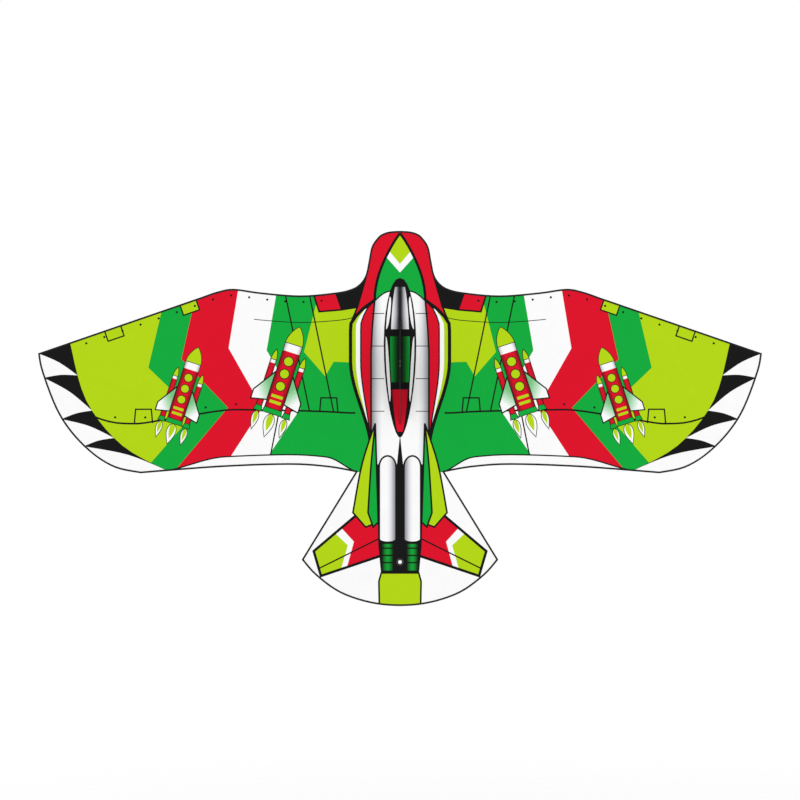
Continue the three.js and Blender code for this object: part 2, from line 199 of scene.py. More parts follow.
def sides_of(points, closed=False):
    """At each point of a line: the unit vector to its right-hand side, stretched at corners."""
    ends = [points[-1], *points, points[0]] if closed else [points[0], *points, points[-1]]
    result = []
    for before, point, after in zip(ends, ends[1:], ends[2:]):
        into = Vector(point) - Vector(before)
        out = Vector(after) - Vector(point)
        into = into.normalized() if into.length > 1e-6 else out.normalized()
        out = out.normalized() if out.length > 1e-6 else into
        side = Vector((into.y + out.y, -into.x - out.x)).normalized()
        result.append(side / max(0.5, side.dot(Vector((into.y, -into.x)))))
    return result


def offset(points, sides, distance):
    """The points moved sideways."""
    return [(x + side.x * distance, z + side.y * distance) for (x, z), side in zip(points, sides)]


def height_at(line, x):
    """The height of a line that runs outwards, at a distance from the centreline."""
    for (x1, z1), (x2, z2) in zip(line, line[1:]):
        if x1 <= x <= x2:
            return z1 + (z2 - z1) * (x - x1) / max(x2 - x1, 1e-6)
    return line[-1][1]


def half_outline():
    """The right half of the sail, clockwise from the middle of the nose to the middle of the tail."""
    x, z = TAIL_BOTTOM[-2]
    across_tail = curve(*TAIL_BOTTOM, (-x, z))
    return [
        *curve(*HEAD_AND_SHOULDER),
        *curve(*WING_TIP),
        *curve(*TRAILING_EDGE)[1:],
        *[point for point in across_tail if point[0] >= 0],
    ]


OUTLINE = half_outline()
LEADING_LINE = curve(*LEADING_ROD)
UPPER_EDGE = [*curve(*HEAD_AND_SHOULDER), TIP]
TIP_LINE = curve(*WING_TIP)
LOWER_EDGE = [*reversed(curve(*TRAILING_EDGE)), *list(reversed(TIP_LINE))[1:]]


# -------- the cloth's relief

BELLY = 1.8
TAIL_BELLY = 0.8
FOLD = 0.45
RIPPLE = 0.35
HEM_WAVE = 0.8


def eased(value, low, high):
    t = min(max((value - low) / (high - low), 0), 1)
    return t * t * (3 - 2 * t)


def relief(x, z):
    """How far the cloth stands behind its flat plane at a place: a slack belly and soft tension folds."""
    wing = eased(x, 30, 130) * eased(z, -182, -150)
    top = height_at(UPPER_EDGE, min(x, TIP[0] - 1))
    bottom = height_at(LOWER_EDGE, min(max(x, WING_ROOT), TIP[0] - 1))
    share = min(max((z - bottom) / max(top - 16 - bottom, 30), 0), 1)
    belly = -BELLY * math.sin(math.pi * share) * eased(TIP[0] - x, 0, 160) * wing
    angle = math.atan2(z - 12, TIP[0] - x)
    reach = math.dist((x, z), (TIP[0], 12))
    folds = FOLD * math.sin(26 * angle) * eased(reach, 20, 120) * eased(420 - reach, 0, 260)
    folds += RIPPLE * math.sin(x / 17 + z / 60) * eased(260 - x, 0, 150) * eased(x, 60, 120)
    hem = HEM_WAVE * math.sin(x / 11.5) * eased(bottom + 60 - z, 0, 60) * eased(x, 90, 150)
    hem *= eased(560 - x, 0, 60)
    side = eased(x, 24, 60) * eased(-185 - z, 0, 30)
    tail = side * (RIPPLE * math.sin((x - z) / 14) - TAIL_BELLY * math.sin(math.pi * eased(-z, 185, 400)))
    calm = eased(top - z, 12, 34)
    return belly + (folds * math.sin(math.pi * share) * wing + hem * wing + tail) * calm


def relief_normal(x, z):
    step = 0.5
    slope_x = (relief(x + step, z) - relief(x - step, z)) / (2 * step)
    slope_z = (relief(x, z + step) - relief(x, z - step)) / (2 * step)
    return Vector((slope_x, -1, slope_z)).normalized()


# -------- drawing the print

class Art:
    """Printed areas of one half of the sail in paint order: a later area covers an earlier one."""

    def __init__(self):
        self.areas = []
        self.extra = []

    def place(self, point):
        return point

    def add(self, outline, colour_at):
        self.areas.append(([self.place(p) for p in outline], colour_at))

    def fill(self, colour, outline):
        self.add(outline, lambda x, z: colour)

    def shade(self, outline, start, end, stops, gap=2.0):
        """An area whose colour runs through the stops from one place to another."""
        a = Vector(self.place(start))
        along = Vector(self.place(end)) - a
        along /= along.length_squared
        self.add(outline, lambda x, z: ramp(stops, (Vector((x, z)) - a).dot(along)))
        self.extra.extend(grid_points(self.areas[-1][0], gap))

    def line(self, points, width, colour=BLACK):
        """A printed line, as one small area for each of its stretches."""
        sides = sides_of(points)
        ends = list(zip(offset(points, sides, width / 2), offset(points, sides, -width / 2)))
        for (right, left), (next_right, next_left) in zip(ends, ends[1:]):
            corners = [right, left, next_left, next_right]
            if abs(signed_area(corners)) > 1e-4:
                self.fill(colour, corners)

    def border(self, points, width):
        """A line round a closed outline."""
        self.line([*points, points[0]], width)

    def dot(self, centre, radius, colour=BLACK):
        self.fill(colour, circle(centre, radius))


class PlacedArt(Art):
    """Art in a frame of its own: across an axis, then back from the nose, with both sides alike."""

    def __init__(self, art, nose, lean, size):
        self.areas = art.areas
        self.extra = art.extra
        self.nose = nose
        self.across = Vector((math.cos(lean), math.sin(lean))) * size
        self.back = Vector((math.sin(lean), -math.cos(lean))) * size

    def place(self, point):
        return tuple(Vector(self.nose) + self.across * point[0] + self.back * point[1])


def ramp(stops, t):
    t = min(max(t, stops[0][0]), stops[-1][0])
    for (t1, c1), (t2, c2) in zip(stops, stops[1:]):
        if t <= t2:
            share = (t - t1) / max(t2 - t1, 1e-9)
            return tuple(a + (b - a) * share for a, b in zip(c1, c2))
    return stops[-1][1]


# -------- the wing's print

# Places beyond the sail's edge, where areas of print may end
FAR_OUT = 620
ABOVE = 250
BELOW = -200

FEATHERS = 4
FEATHER_STEP = 0.2
FEATHER_TOP = (547, 36)
FEATHER_END = 378
FEATHER_LINE = curve(FEATHER_TOP, (520, -60), (460, -135), (FEATHER_END, -180))
CHEVRON = (0, 0.4, -1, 0.6)
PANEL_SHARE = 0.32
HEM = 17
HEM_END = 400


def on_wing(x, share):
    """The place at a share of the wing's depth, from 0 on the trailing edge to 1 on the leading edge."""
    bottom = height_at(LOWER_EDGE, x)
    return (x, bottom + share * (height_at(UPPER_EDGE, x) - bottom))


def chevron(x, swing):
    """A zigzag border across the wing, from in front of the leading edge to behind the trailing edge."""
    count = len(CHEVRON) - 1
    points = [on_wing(x + swing * way, 1 - i / count) for i, way in enumerate(CHEVRON)]
    first, last = points[0], points[-1]
    return [(first[0], first[1] + 20), *points, (last[0], last[1] - 20)]


def draw_camouflage(art):
    """Splinter camouflage: bands between parallel zigzags, each painted from its inner border outwards."""
    art.fill(LIME, [(0, ABOVE), (0, BELOW), (FAR_OUT, BELOW), (FAR_OUT, ABOVE)])
    for colour, x, swing in (
        (GREEN, 135, 60), (WHITE, 205, 40), (RED, 268, 40), (GREEN, 340, 55), (LIME, 395, 55),
    ):
        art.fill(colour, [*chevron(x, swing), (FAR_OUT, BELOW), (FAR_OUT, ABOVE)])
    art.fill(GREEN, [(0, 0), (110, 4), on_wing(160, 0.3), (150, BELOW), (0, BELOW)])
    art.fill(RED, [(148, 130), (134, 87), (98, 90), (112, 130)])
    art.fill(BLACK, [(112, 130), (98, 90), (60, 96), (50, 160), (80, 150)])
    art.line([(144, 118), (134, 87), (98, 90), (60, 96)], MEDIUM)


def draw_hem(art):
    """An unprinted strip along the trailing edge, which narrows at its ends."""
    border = []
    for x in range(WING_ROOT, HEM_END, 8):
        width = HEM * eased(x, 66, 122) * eased(HEM_END - x, 0, 110)
        border.append((x, height_at(LOWER_EDGE, x) + width))
    art.fill(WHITE, [*border, (HEM_END, BELOW), (WING_ROOT, BELOW)])
    art.line(border, FINE)


def bowed(a, b, bow):
    """A curve between two points which bows sideways by a share of their distance."""
    middle = ((a[0] + b[0]) / 2 - (b[1] - a[1]) * bow, (a[1] + b[1]) / 2 + (b[0] - a[0]) * bow)
    return curve(a, middle, b)


def draw_feathers(art):
    """Equal black feather tips on the unprinted end of the wing."""
    art.fill(WHITE, [*FEATHER_LINE, (FEATHER_END, BELOW), (640, BELOW), (640, 60), (FEATHER_TOP[0], 60)])
    last = len(FEATHER_LINE) - 1
    for k in range(FEATHERS):
        low = round(FEATHER_STEP * k * last)
        high = last if k == FEATHERS - 1 else round(FEATHER_STEP * (k + 1) * last)
        root = FEATHER_LINE[low:high + 1]
        tip = TIP_LINE[round(FEATHER_STEP * k * (len(TIP_LINE) - 1))]
        art.fill(BLACK, [*bowed(root[0], tip, 0.05), *bowed(tip, root[-1], -0.05)[1:], *reversed(root)])


def edge_box(art, distance):
    """A hatch that hangs from the straight leading edge; distance is its outer side's."""
    start = Vector(TIP)
    inward = (Vector(HEAD_AND_SHOULDER[-1]) - start).normalized()
    down = Vector((-inward.y, inward.x)) * 19
    corner = start + inward * (TIP[0] - distance) / abs(inward.x)
    width = inward * 28
    points = [tuple(p) for p in (corner, corner + down, corner + down + width, corner + width)]
    art.fill(LIME, points)
    art.line(points, FINE)


def draw_panel_lines(art):
    """Lines of a metal wing: one along it, ribs in front of that, and hatches."""
    for distance in (490, 365):
        edge_box(art, distance)
    art.line([on_wing(x, PANEL_SHARE) for x in range(WING_ROOT, 515, 12)], MEDIUM)
    for x in (425, 118):
        low = on_wing(x, PANEL_SHARE)[1]
        art.line([(x + 15, low), (x + 13, low + 23), (x - 13, low + 23), (x - 15, low)], FINE)
    for outer, inner in ((190, 150), (150, 110)):
        art.line([on_wing(outer, 1), on_wing(inner, PANEL_SHARE)], FINE)
    art.line([on_wing(x, 0.84) for x in range(WING_ROOT, 250, 12)], HAIR)
    art.line([on_wing(200, PANEL_SHARE), on_wing(215, 0.05)], FINE)


def draw_rivets(art):
    for x in range(130, 550, 30):
        art.dot((x, height_at(UPPER_EDGE, x) - 11), RIVET)
    for x in range(172, 500, 50):
        art.dot((x, on_wing(x, PANEL_SHARE)[1] + 9), RIVET)


# -------- the rockets

ROCKET_LEAN = math.radians(18)
ROUND_WHITE = [(0, ASH), (0.2, WHITE), (0.8, WHITE), (1, ASH)]
ROUND_RED = [(0, CRIMSON), (0.25, RED), (0.75, RED), (1, CRIMSON)]


def ogive(side, half_width, start, end):
    """A pointed nose that widens smoothly to its full width."""
    points = []
    for k in range(7):
        t = k / 6
        points.append((side + half_width * math.sin(t * math.pi / 2) ** 0.8, start + (end - start) * t))
    return points + [(2 * side - x, v) for x, v in reversed(points)]


def drop(side, half_width, start, end):
    """A flame: round near its start and drawn out to a point."""
    points = []
    for k in range(9):
        t = k / 8
        points.append((side + half_width * math.sin(math.pi * t ** 0.7), start + (end - start) * t))
    return points + [(2 * side - x, v) for x, v in reversed(points[1:-1])]


def draw_flame(rocket, side, half_width, start, end):
    outline = drop(side, half_width, start, end)
    rocket.fill(WHITE, outline)
    rocket.fill(LIME, drop(side, half_width * 0.6, start, end - (end - start) * 0.25))
    rocket.border(outline, HAIR)


def draw_tube(rocket, side, half_width, start, nose_end, collar_end, end):
    """A round rocket: a lime nose, a white collar, a red tube and a green nozzle."""
    left, right = side - half_width, side + half_width
    for low, stops in ((end, ROUND_RED), (collar_end, ROUND_WHITE)):
        band = [(left, nose_end), (right, nose_end), (right, low), (left, low)]
        rocket.shade(band, (left, start), (right, start), stops, 3)
    nose = ogive(side, half_width, start, nose_end)
    rocket.fill(LIME, nose)
    nozzle = [(left, end), (right, end), (right + 2, end + 9), (left - 2, end + 9)]
    rocket.fill(GREEN, nozzle)
    for outline in (nose, nozzle):
        rocket.border(outline, HAIR)
    for edge in (left, right):
        rocket.line([(edge, nose_end), (edge, end)], HAIR)


def draw_rocket(art, nose, size):
    """A plain toy rocket with two boosters, swept fins and three round windows."""
    rocket = PlacedArt(art, nose, ROCKET_LEAN, size)
    for way in (-1, 1):
        draw_flame(rocket, 25 * way, 6, 156, 190)
        draw_tube(rocket, 25 * way, 5, 48, 66, 72, 147)
        fin = [(15 * way, 84), (42 * way, 124), (42 * way, 140), (15 * way, 134)]
        rocket.shade(fin, (42 * way, 132), (15 * way, 112), [(0, WHITE), (0.3, WHITE), (1, MEADOW)], 3)
        rocket.border(fin, FINE)
    draw_flame(rocket, 0, 9, 154, 196)
    draw_tube(rocket, 0, 15, 0, 32, 46, 146)
    for place in (62, 84, 106):
        rocket.dot((0, place), 9)
        rocket.dot((0, place), 7.5, LIME)
    for place in (122, 132):
        rocket.fill(LIME, [(-10, place), (10, place), (10, place + 5), (-10, place + 5)])


# -------- the plane's print

NOSE_TIP = 217
BODY = 48
NOSE_HALF = 42
FLANK = 34
FLANK_TOP = 105
FLANK_END = -145
CANOPY_TOP = 143
CANOPY_END = -122
CANOPY_HALF = 27
CANOPY_STEPS = 16
GLINT = 5


def nose_line(end):
    """The nose cone's edge from its tip down to a height."""
    points = []
    for k in range(11):
        z = NOSE_TIP + (end - NOSE_TIP) * k / 10
        turn = math.pi / 2 * (NOSE_TIP - z) / (NOSE_TIP - FLANK_TOP)
        points.append((NOSE_HALF * math.sin(turn) ** 0.9, z))
    return points


def flank_line(share):
    """A line down the plane's flank, at a share of the way from the body to the flank's edge."""
    points = [(NOSE_HALF, FLANK_TOP + 1)]
    steps = 20
    for k in range(1, steps + 1):
        z = FLANK_TOP + (FLANK_END - FLANK_TOP) * k / steps
        reach = FLANK * eased(FLANK_TOP - z, -8, 42) * eased(z - FLANK_END, 0, 150)
        points.append((BODY + reach * share, z))
    return points


def canopy_line(share, top, end):
    """A line down the canopy, at a share of its half width."""
    points = []
    for k in range(CANOPY_STEPS + 1):
        z = top + (end - top) * (1 - math.cos(math.pi * k / CANOPY_STEPS)) / 2
        t = min(max((CANOPY_TOP - z) / (CANOPY_TOP - CANOPY_END), 0), 1)
        points.append((share * CANOPY_HALF * math.sin(math.pi * t ** 0.8) ** 0.55, z))
    return points


def draw_head(art):
    """A red hood round a green nose cone, whose lime tip ends in a chevron."""
    art.fill(RED, [(0, 235), (70, 235), (56, 145), (70, 96), (78, 70), (0, 70)])
    art.line([(56, 145), (70, 96), (80, 72)], MEDIUM)
    for colour, side, middle in ((GREEN, FLANK_TOP, FLANK_TOP), (WHITE, 178, 152), (LIME, 188, 166)):
        art.fill(colour, [*nose_line(side), (0, middle)])
    art.line(nose_line(FLANK_TOP), BROAD)


def draw_flank(art):
    """Lime, white and red stripes that follow the flank's edge from the shoulder to the tail."""
    for colour, share in ((LIME, 1), (WHITE, 0.74), (RED, 0.5)):
        art.fill(colour, [(30, FLANK_TOP), *flank_line(share), (30, FLANK_END)])
    art.line(flank_line(0.5), FINE)
    art.line(flank_line(1), HEAVY)


def draw_fuselage(art):
    """The silver body, darker towards its sides."""
    shoulder = curve((NOSE_HALF, FLANK_TOP), (24, 119), (0, 124))
    side = [(NOSE_HALF, FLANK_TOP), (46, 60), (BODY, 20), (BODY, -120), (38, -170)]
    stops = [(0, STEEL), (0.18, ASH), (0.5, PALE), (0.8, WHITE), (1, WHITE)]
    art.shade([*shoulder, (0, -170), *reversed(side)], (BODY, 0), (26, 0), stops)
    art.line(side, MEDIUM)
    art.line(shoulder, FINE)
    for z in (84, 30, -24, -78):
        art.line([(BODY, z), (26, z)], HAIR)


def draw_canopy(art):
    """A teardrop of black glass in two panes with bright glints, and a red fin behind them."""
    art.fill(BLACK, [*canopy_line(1, CANOPY_TOP, CANOPY_END), (0, CANOPY_END), (0, CANOPY_TOP)])
    silver = [(0, WHITE), (0.3, PALE), (0.6, ASH), (0.85, DARK), (1, BLACK)]
    green = [(0, GREEN), (0.35, LEAF), (0.7, DEEP), (1, BLACK)]
    red = [(0, CRIMSON), (0.5, RED), (1, RED)]
    for share, top, end, stops in ((0.56, 128, 58, silver), (0.6, 46, -30, green), (0.6, -42, -112, red)):
        pane = [(0, top), *canopy_line(share, top, end), (0, end)]
        art.shade(pane, (share * CANOPY_HALF, top), (0, top), stops)
    for top, end in ((112, 58), (46, -62)):
        outer = canopy_line(0.88, top, end)
        inner = [(x - GLINT * math.sin(math.pi * k / CANOPY_STEPS), z) for k, (x, z) in enumerate(outer)]
        art.fill(WHITE, [*outer, *reversed(inner)])


# -------- the tail's print

TAIL_TOP = -179
TAILPLANE = [(39, -222), (143, -310), (131, -351), (33, -318)]
ENGINE_MIDDLE = 20.5
ENGINE_HALF = 14
NOZZLE_HALF = 10


def draw_tailplane(art):
    """A swept red tailplane with a lime tip, set off by a white chevron, and a hinged rear edge."""
    root, tip, tip_end, root_end = (Vector(p) for p in TAILPLANE)
    art.fill(RED, TAILPLANE)
    for colour, share in ((WHITE, 0.56), (LIME, 0.66)):
        front = root.lerp(tip, share)
        middle = root.lerp(root_end, 0.5).lerp(tip.lerp(tip_end, 0.5), share - 0.16)
        rear = root_end.lerp(tip_end, share)
        art.fill(colour, [tuple(p) for p in (front, tip, tip_end, rear, middle)])
    art.line([tuple(root_end.lerp(root, 0.3)), tuple(tip_end.lerp(tip, 0.3))], FINE)
    art.line(TAILPLANE, BROAD)


def draw_tail_fin(art):
    """A lime blade beside the engines with a green one on its inner side."""
    for colour, width in ((LIME, 38), (GREEN, 13)):
        edge = curve((41, -98), (40 + 0.6 * width, -165), (40 + width, -246))
        blade = [*edge, (38 + width / 2, -270), (36, -262)]
        art.fill(colour, blade)
        art.border(blade, MEDIUM)


def barrel(half_width, top, end, rounding):
    """A tube seen from above, round at both ends."""
    points = []
    for way, height, bulge in ((1, top, rounding), (-1, end, -0.3 * rounding)):
        for angle in (math.pi * k / 12 for k in range(13)):
            x = ENGINE_MIDDLE + way * half_width * math.cos(angle)
            points.append((x, height + bulge * math.sin(angle)))
    return points


def draw_engines(art):
    """Two plain tubes side by side, bright on their outer sides, with green nozzles."""
    art.fill(BLACK, [(39, -166), (0, -166), (0, -352), (31, -352), (36, -300)])
    art.fill(BLACK, [(0, -116), (5, -165), (5, -300), (0, -300)])
    silver = [(0, PALE), (0.12, WHITE), (0.5, WHITE), (0.68, PALE), (0.86, ASH), (1, STEEL)]
    green = [(0, BLACK), (0.25, LEAF), (0.5, GREEN), (0.75, LEAF), (1, BLACK)]
    tube = barrel(ENGINE_HALF, -170, -290, 18)
    nozzle = barrel(NOZZLE_HALF, -298, -342, 0.1)
    right, left = ENGINE_MIDDLE + ENGINE_HALF, ENGINE_MIDDLE - ENGINE_HALF
    art.shade(tube, (right, -200), (left, -200), silver)
    art.border(tube, MEDIUM)
    right, left = ENGINE_MIDDLE + NOZZLE_HALF, ENGINE_MIDDLE - NOZZLE_HALF
    art.shade(nozzle, (right, -320), (left, -320), green)
    for z in (-305, -317, -329):
        art.line([(right, z), (left, z)], FINE)


def draw_tail_plate(art):
    """The lime panel behind the engines."""
    plate = [(0, -346), (31, -346), (35, -360), (34, -410)]
    art.fill(LIME, [*plate, (0, -410)])
    art.line(plate, MEDIUM)


def draw_print():
    """The whole print of one half; the other half is its mirror image."""
    art = Art()
    art.fill(WHITE, [(0, 250), (640, 250), (640, -420), (0, -420)])
    for draw in (draw_camouflage, draw_panel_lines, draw_rivets, draw_hem, draw_feathers):
        draw(art)
    for nose, size in (((166, 62), 0.98), ((334, 28), 0.86)):
        draw_rocket(art, nose, size)
    art.fill(WHITE, [(WING_ROOT, TAIL_TOP), (0, TAIL_TOP), (0, -420), (240, -420)])
    for draw in (
        draw_head, draw_flank, draw_fuselage, draw_canopy,
        draw_tailplane, draw_engines, draw_tail_plate, draw_tail_fin,
    ):
        draw(art)
    return art


# -------- materials

def linear(channel):
    """A screen colour channel, 0 to 255, as light."""
    value = channel / 255
    return value / 12.92 if value <= 0.04045 else ((value + 0.055) / 1.055) ** 2.4


def light_of(colour):
    return tuple(linear(c) for c in colour) + (1.0,)


def feed(tree, node, inputs):
    """Gives a node's inputs their values, or links them to other nodes' outputs."""
    for name, value in inputs.items():
        if isinstance(value, bpy.types.NodeSocket):
            tree.links.new(value, node.inputs[name])
        else:
            node.inputs[name].default_value = value


def add_node(tree, kind, output, inputs, **settings):
    """Makes a node and returns one of its outputs."""
    node = tree.nodes.new(kind)
    for name, value in settings.items():
        setattr(node, name, value)
    feed(tree, node, inputs)
    return node.outputs[output]


class Finish:
    """A procedural material with helpers for its nodes."""

    def __init__(self, name, roughness, metallic=0.0, sheen=0.0, coat=0.0, gloss=0.5):
        self.material = bpy.data.materials.new(name)
        self.material.use_nodes = True
        self.tree = self.material.node_tree
        self.place = self.node("ShaderNodeTexCoord", "Object", {})
        self.surface({
            "Roughness": roughness, "Metallic": metallic, "Sheen Weight": sheen,
            "Coat Weight": coat, "Specular IOR Level": gloss,
        })

    def node(self, kind, output, inputs, **settings):
        return add_node(self.tree, kind, output, inputs, **settings)

    def surface(self, inputs):
        feed(self.tree, self.tree.nodes["Principled BSDF"], inputs)

    def noise(self, scale, detail=3.0):
        inputs = {"Vector": self.place, "Scale": scale, "Detail": detail}
        return self.node("ShaderNodeTexNoise", "Fac", inputs)

    def bands(self, pitch, direction):
        """Ridges with a pitch in metres across a direction."""
        inputs = {"Vector": self.place, "Scale": math.pi / (10 * pitch)}
        return self.node("ShaderNodeTexWave", "Fac", inputs, bands_direction=direction)

    def between(self, value, low, high):
        return self.node("ShaderNodeMapRange", "Result", {"Value": value, "To Min": low, "To Max": high})

    def math(self, operation, a, b):
        return self.node("ShaderNodeMath", "Value", {0: a, 1: b}, operation=operation)

    def mix(self, kind, share, a, b):
        inputs = {"Factor": share, 6: a, 7: b}
        return self.node("ShaderNodeMix", 2, inputs, data_type="RGBA", blend_type=kind)

    def bump(self, height, distance, strength):
        inputs = {"Height": height, "Distance": distance, "Strength": strength}
        self.surface({"Normal": self.node("ShaderNodeBump", "Normal", inputs)})

    def colours(self, first, second, scale):
        """The base colour wanders between two colours."""
        self.surface({"Base Color": self.mix("MIX", self.noise(scale), light_of(first), light_of(second))})


def weave(finish, pitch, distance):
    """Crossing threads, with a thicker thread every few millimetres."""
    threads = finish.math("MULTIPLY", finish.bands(pitch, "X"), finish.bands(pitch, "Z"))
    ribs = finish.math("MAXIMUM", finish.bands(12 * pitch, "X"), finish.bands(12 * pitch, "Z"))
    ribs = finish.math("POWER", ribs, 24.0)
    finish.bump(finish.math("ADD", threads, ribs), distance, 0.35)


def printed_cloth(name, bleed):
    """Woven polyester with the print on it; bleed is how much of the white cloth shows through."""
    finish = Finish(name, 0.6, sheen=0.02, gloss=0.12)
    colour = finish.node("ShaderNodeAttribute", "Color", {}, attribute_name="print")
    worn = finish.between(finish.noise(38), 0.95, 1.0)
    tint = finish.node("ShaderNodeCombineColor", "Color", {0: worn, 1: worn, 2: worn})
    shown = finish.mix("MULTIPLY", 1.0, colour, tint)
    if bleed > 0:
        shown = finish.mix("MIX", bleed, shown, light_of((238, 238, 236)))
    finish.surface({"Base Color": shown})
    weave(finish, 0.0006, 0.00006)
    return finish.material


def plain_cloth(name, first, second):
    finish = Finish(name, 0.78, sheen=0.06, gloss=0.2)
    finish.colours(first, second, 90)
    weave(finish, 0.0007, 0.0001)
    return finish.material


def thread(name, first, second):
    finish = Finish(name, 0.7, sheen=0.04, gloss=0.2)
    finish.colours(first, second, 400)
    finish.bump(finish.bands(0.0004, "DIAGONAL"), 0.00008, 0.5)
    return finish.material


def fibreglass():
    """Pultruded rod: a fine grain under a clear resin skin."""
    finish = Finish("fibreglass_rod", 0.32, coat=0.3)
    finish.colours((20, 21, 23), (46, 47, 49), 120)
    finish.bump(finish.noise(1800, 2.0), 0.00003, 0.4)
    return finish.material


def vinyl():
    finish = Finish("vinyl", 0.42, coat=0.15)
    finish.colours((16, 16, 18), (34, 34, 37), 160)
    finish.bump(finish.noise(700), 0.00005, 0.4)
    return finish.material


def nylon():
    """Moulded nylon with a fine spark-eroded grain, which shines unevenly."""
    finish = Finish("moulded_nylon", 0.5)
    finish.colours((13, 13, 14), (30, 30, 32), 70)
    finish.surface({"Roughness": finish.between(finish.noise(260), 0.42, 0.6)})
    finish.bump(finish.noise(2600, 2.0), 0.00004, 0.5)
    return finish.material


def enamelled_metal():
    """Black enamelled eyelet, rubbed in places."""
    finish = Finish("black_enamel", 0.3, metallic=0.35, coat=0.4)
    finish.colours((12, 12, 13), (44, 44, 47), 300)
    finish.bump(finish.noise(1500), 0.00003, 0.3)
    return finish.material


FRONT_CLOTH = printed_cloth("printed_cloth", 0.0)
BACK_CLOTH = printed_cloth("printed_cloth_back", 0.5)
BLACK_CLOTH = plain_cloth("black_cloth", (14, 14, 15), (28, 28, 30))
PALE_CLOTH = plain_cloth("white_cloth", (236, 236, 233), (222, 222, 219))
BLACK_THREAD = thread("black_thread", (10, 10, 11), (32, 32, 34))
WHITE_THREAD = thread("white_thread", (236, 236, 232), (205, 205, 200))
GREY_THREAD = thread("grey_thread", (92, 92, 95), (66, 66, 69))
ROD = fibreglass()
VINYL = vinyl()
NYLON = nylon()
ENAMEL = enamelled_metal()


# -------- meshes

def new_object(name, data):
    made = bpy.data.objects.new(name, data)
    bpy.context.scene.collection.objects.link(made)
    return made


def attach(piece, body, nodes, bends=False):
    """Fixes a piece to its body, or bakes in the place of a piece that spans the fold from the spine to
    that wing.
    """
    if bends:
        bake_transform(piece)
    else:
        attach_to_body(piece, body)
    if nodes:
        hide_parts(*nodes)
    return piece


class Shell:
    """Collects closed shapes, in millimetres, for one piece; adding a shape gives back the shell."""

    def __init__(self):
        self.vertices = []
        self.faces = []

    def rings(self, rings, closed=False):
        """Joins equal rings of points in order, with a cap on each end unless the rings close."""
        count = len(rings[0])
        start = len(self.vertices)
        for ring in rings:
            self.vertices.extend(Vector(p) for p in ring)
        for i in range(len(rings) if closed else len(rings) - 1):
            a = start + i * count
            b = start + ((i + 1) % len(rings)) * count
            for k in range(count):
                n = (k + 1) % count
                self.faces.append([a + k, a + n, b + n, b + k])
        if not closed:
            self.faces.append([start + k for k in reversed(range(count))])
            self.faces.append([start + (len(rings) - 1) * count + k for k in range(count)])
        return self

    def lathe(self, profile, start, direction, sides=32):
        """A shape of revolution: profile holds (radius, distance along the direction from the start)."""
        turn = Vector((0, 0, 1)).rotation_difference(Vector(direction)).to_matrix()
        closed = profile[0] == profile[-1]
        rings = []
        for radius, along in profile[:-1] if closed else profile:
            ring = circle((0, 0), max(radius, 1e-4), sides)
            rings.append([Vector(start) + turn @ Vector((x, y, along)) for x, y in ring])
        return self.rings(rings, closed)

    def piece(self, name, material, body, *nodes, slot=None, sharp=35, bends=False):
        """Makes the mesh, which stands for the CAD nodes, and puts it on its body."""
        mesh = bpy.data.meshes.new(name)
        mesh.from_pydata([v * MM for v in self.vertices], [], self.faces)
        mesh.materials.append(material)
        work = bmesh.new()
        work.from_mesh(mesh)
        bmesh.ops.remove_doubles(work, verts=work.verts, dist=1e-7)
        bmesh.ops.recalc_face_normals(work, faces=work.faces)
        work.to_mesh(mesh)
        work.free()
        mesh.shade_smooth()
        mesh.set_sharp_from_angle(angle=math.radians(sharp))
        return attach(new_object(name, mesh), body, nodes, bends)


def rod_at(point, side=1):
    return Vector((point[0] * side, ROD_PLANE, point[1]))


def ring_at(spot, way, section, side):
    """A section's (across, depth) points, set square across a path in the sail's plane."""
    return [(side * (spot[0] + way.x * a), y, spot[1] + way.y * a) for a, y in section]


def round_section(radius, sides):
    return [(x, ROD_PLANE + y) for x, y in circle((0, 0), radius, sides)]


def rod_rings(path, radius, chamfer, side, sides=20):
    """The rings of a round rod along a path, with a small chamfer on each end."""
    first = between(path[0], path[1], chamfer / math.dist(path[0], path[1]))
    last = between(path[-1], path[-2], chamfer / math.dist(path[-1], path[-2]))
    full = [path[0], first, *path[1:-1], last, path[-1]]
    radii = [radius - chamfer, *[radius] * (len(full) - 2), radius - chamfer]
    rows = zip(full, sides_of(full), radii)
    return [ring_at(spot, way, round_section(size, sides), side) for spot, way, size in rows]


def stretch_of(line, low, high, gap=4):
    """The part of a line between two distances from the centreline."""
    fine = spaced(line, gap)
    kept = [p for p in fine if low < p[0] < high]
    return [(low, height_at(fine, low)), *kept, (high, height_at(fine, high))]


# -------- the sail

EDGE_GAP = 3
GRID_GAP = 7
NOT_CLOTH = -2
PLAIN_CLOTH = -1


def paint(outline, spots, owners, value):
    """Gives the spots inside an outline to a new owner."""
    low = np.min(outline, axis=0)
    high = np.max(outline, axis=0)
    near = np.nonzero(np.all((spots >= low) & (spots <= high), axis=1))[0]
    owners[near[covered(outline, spots[near])]] = value


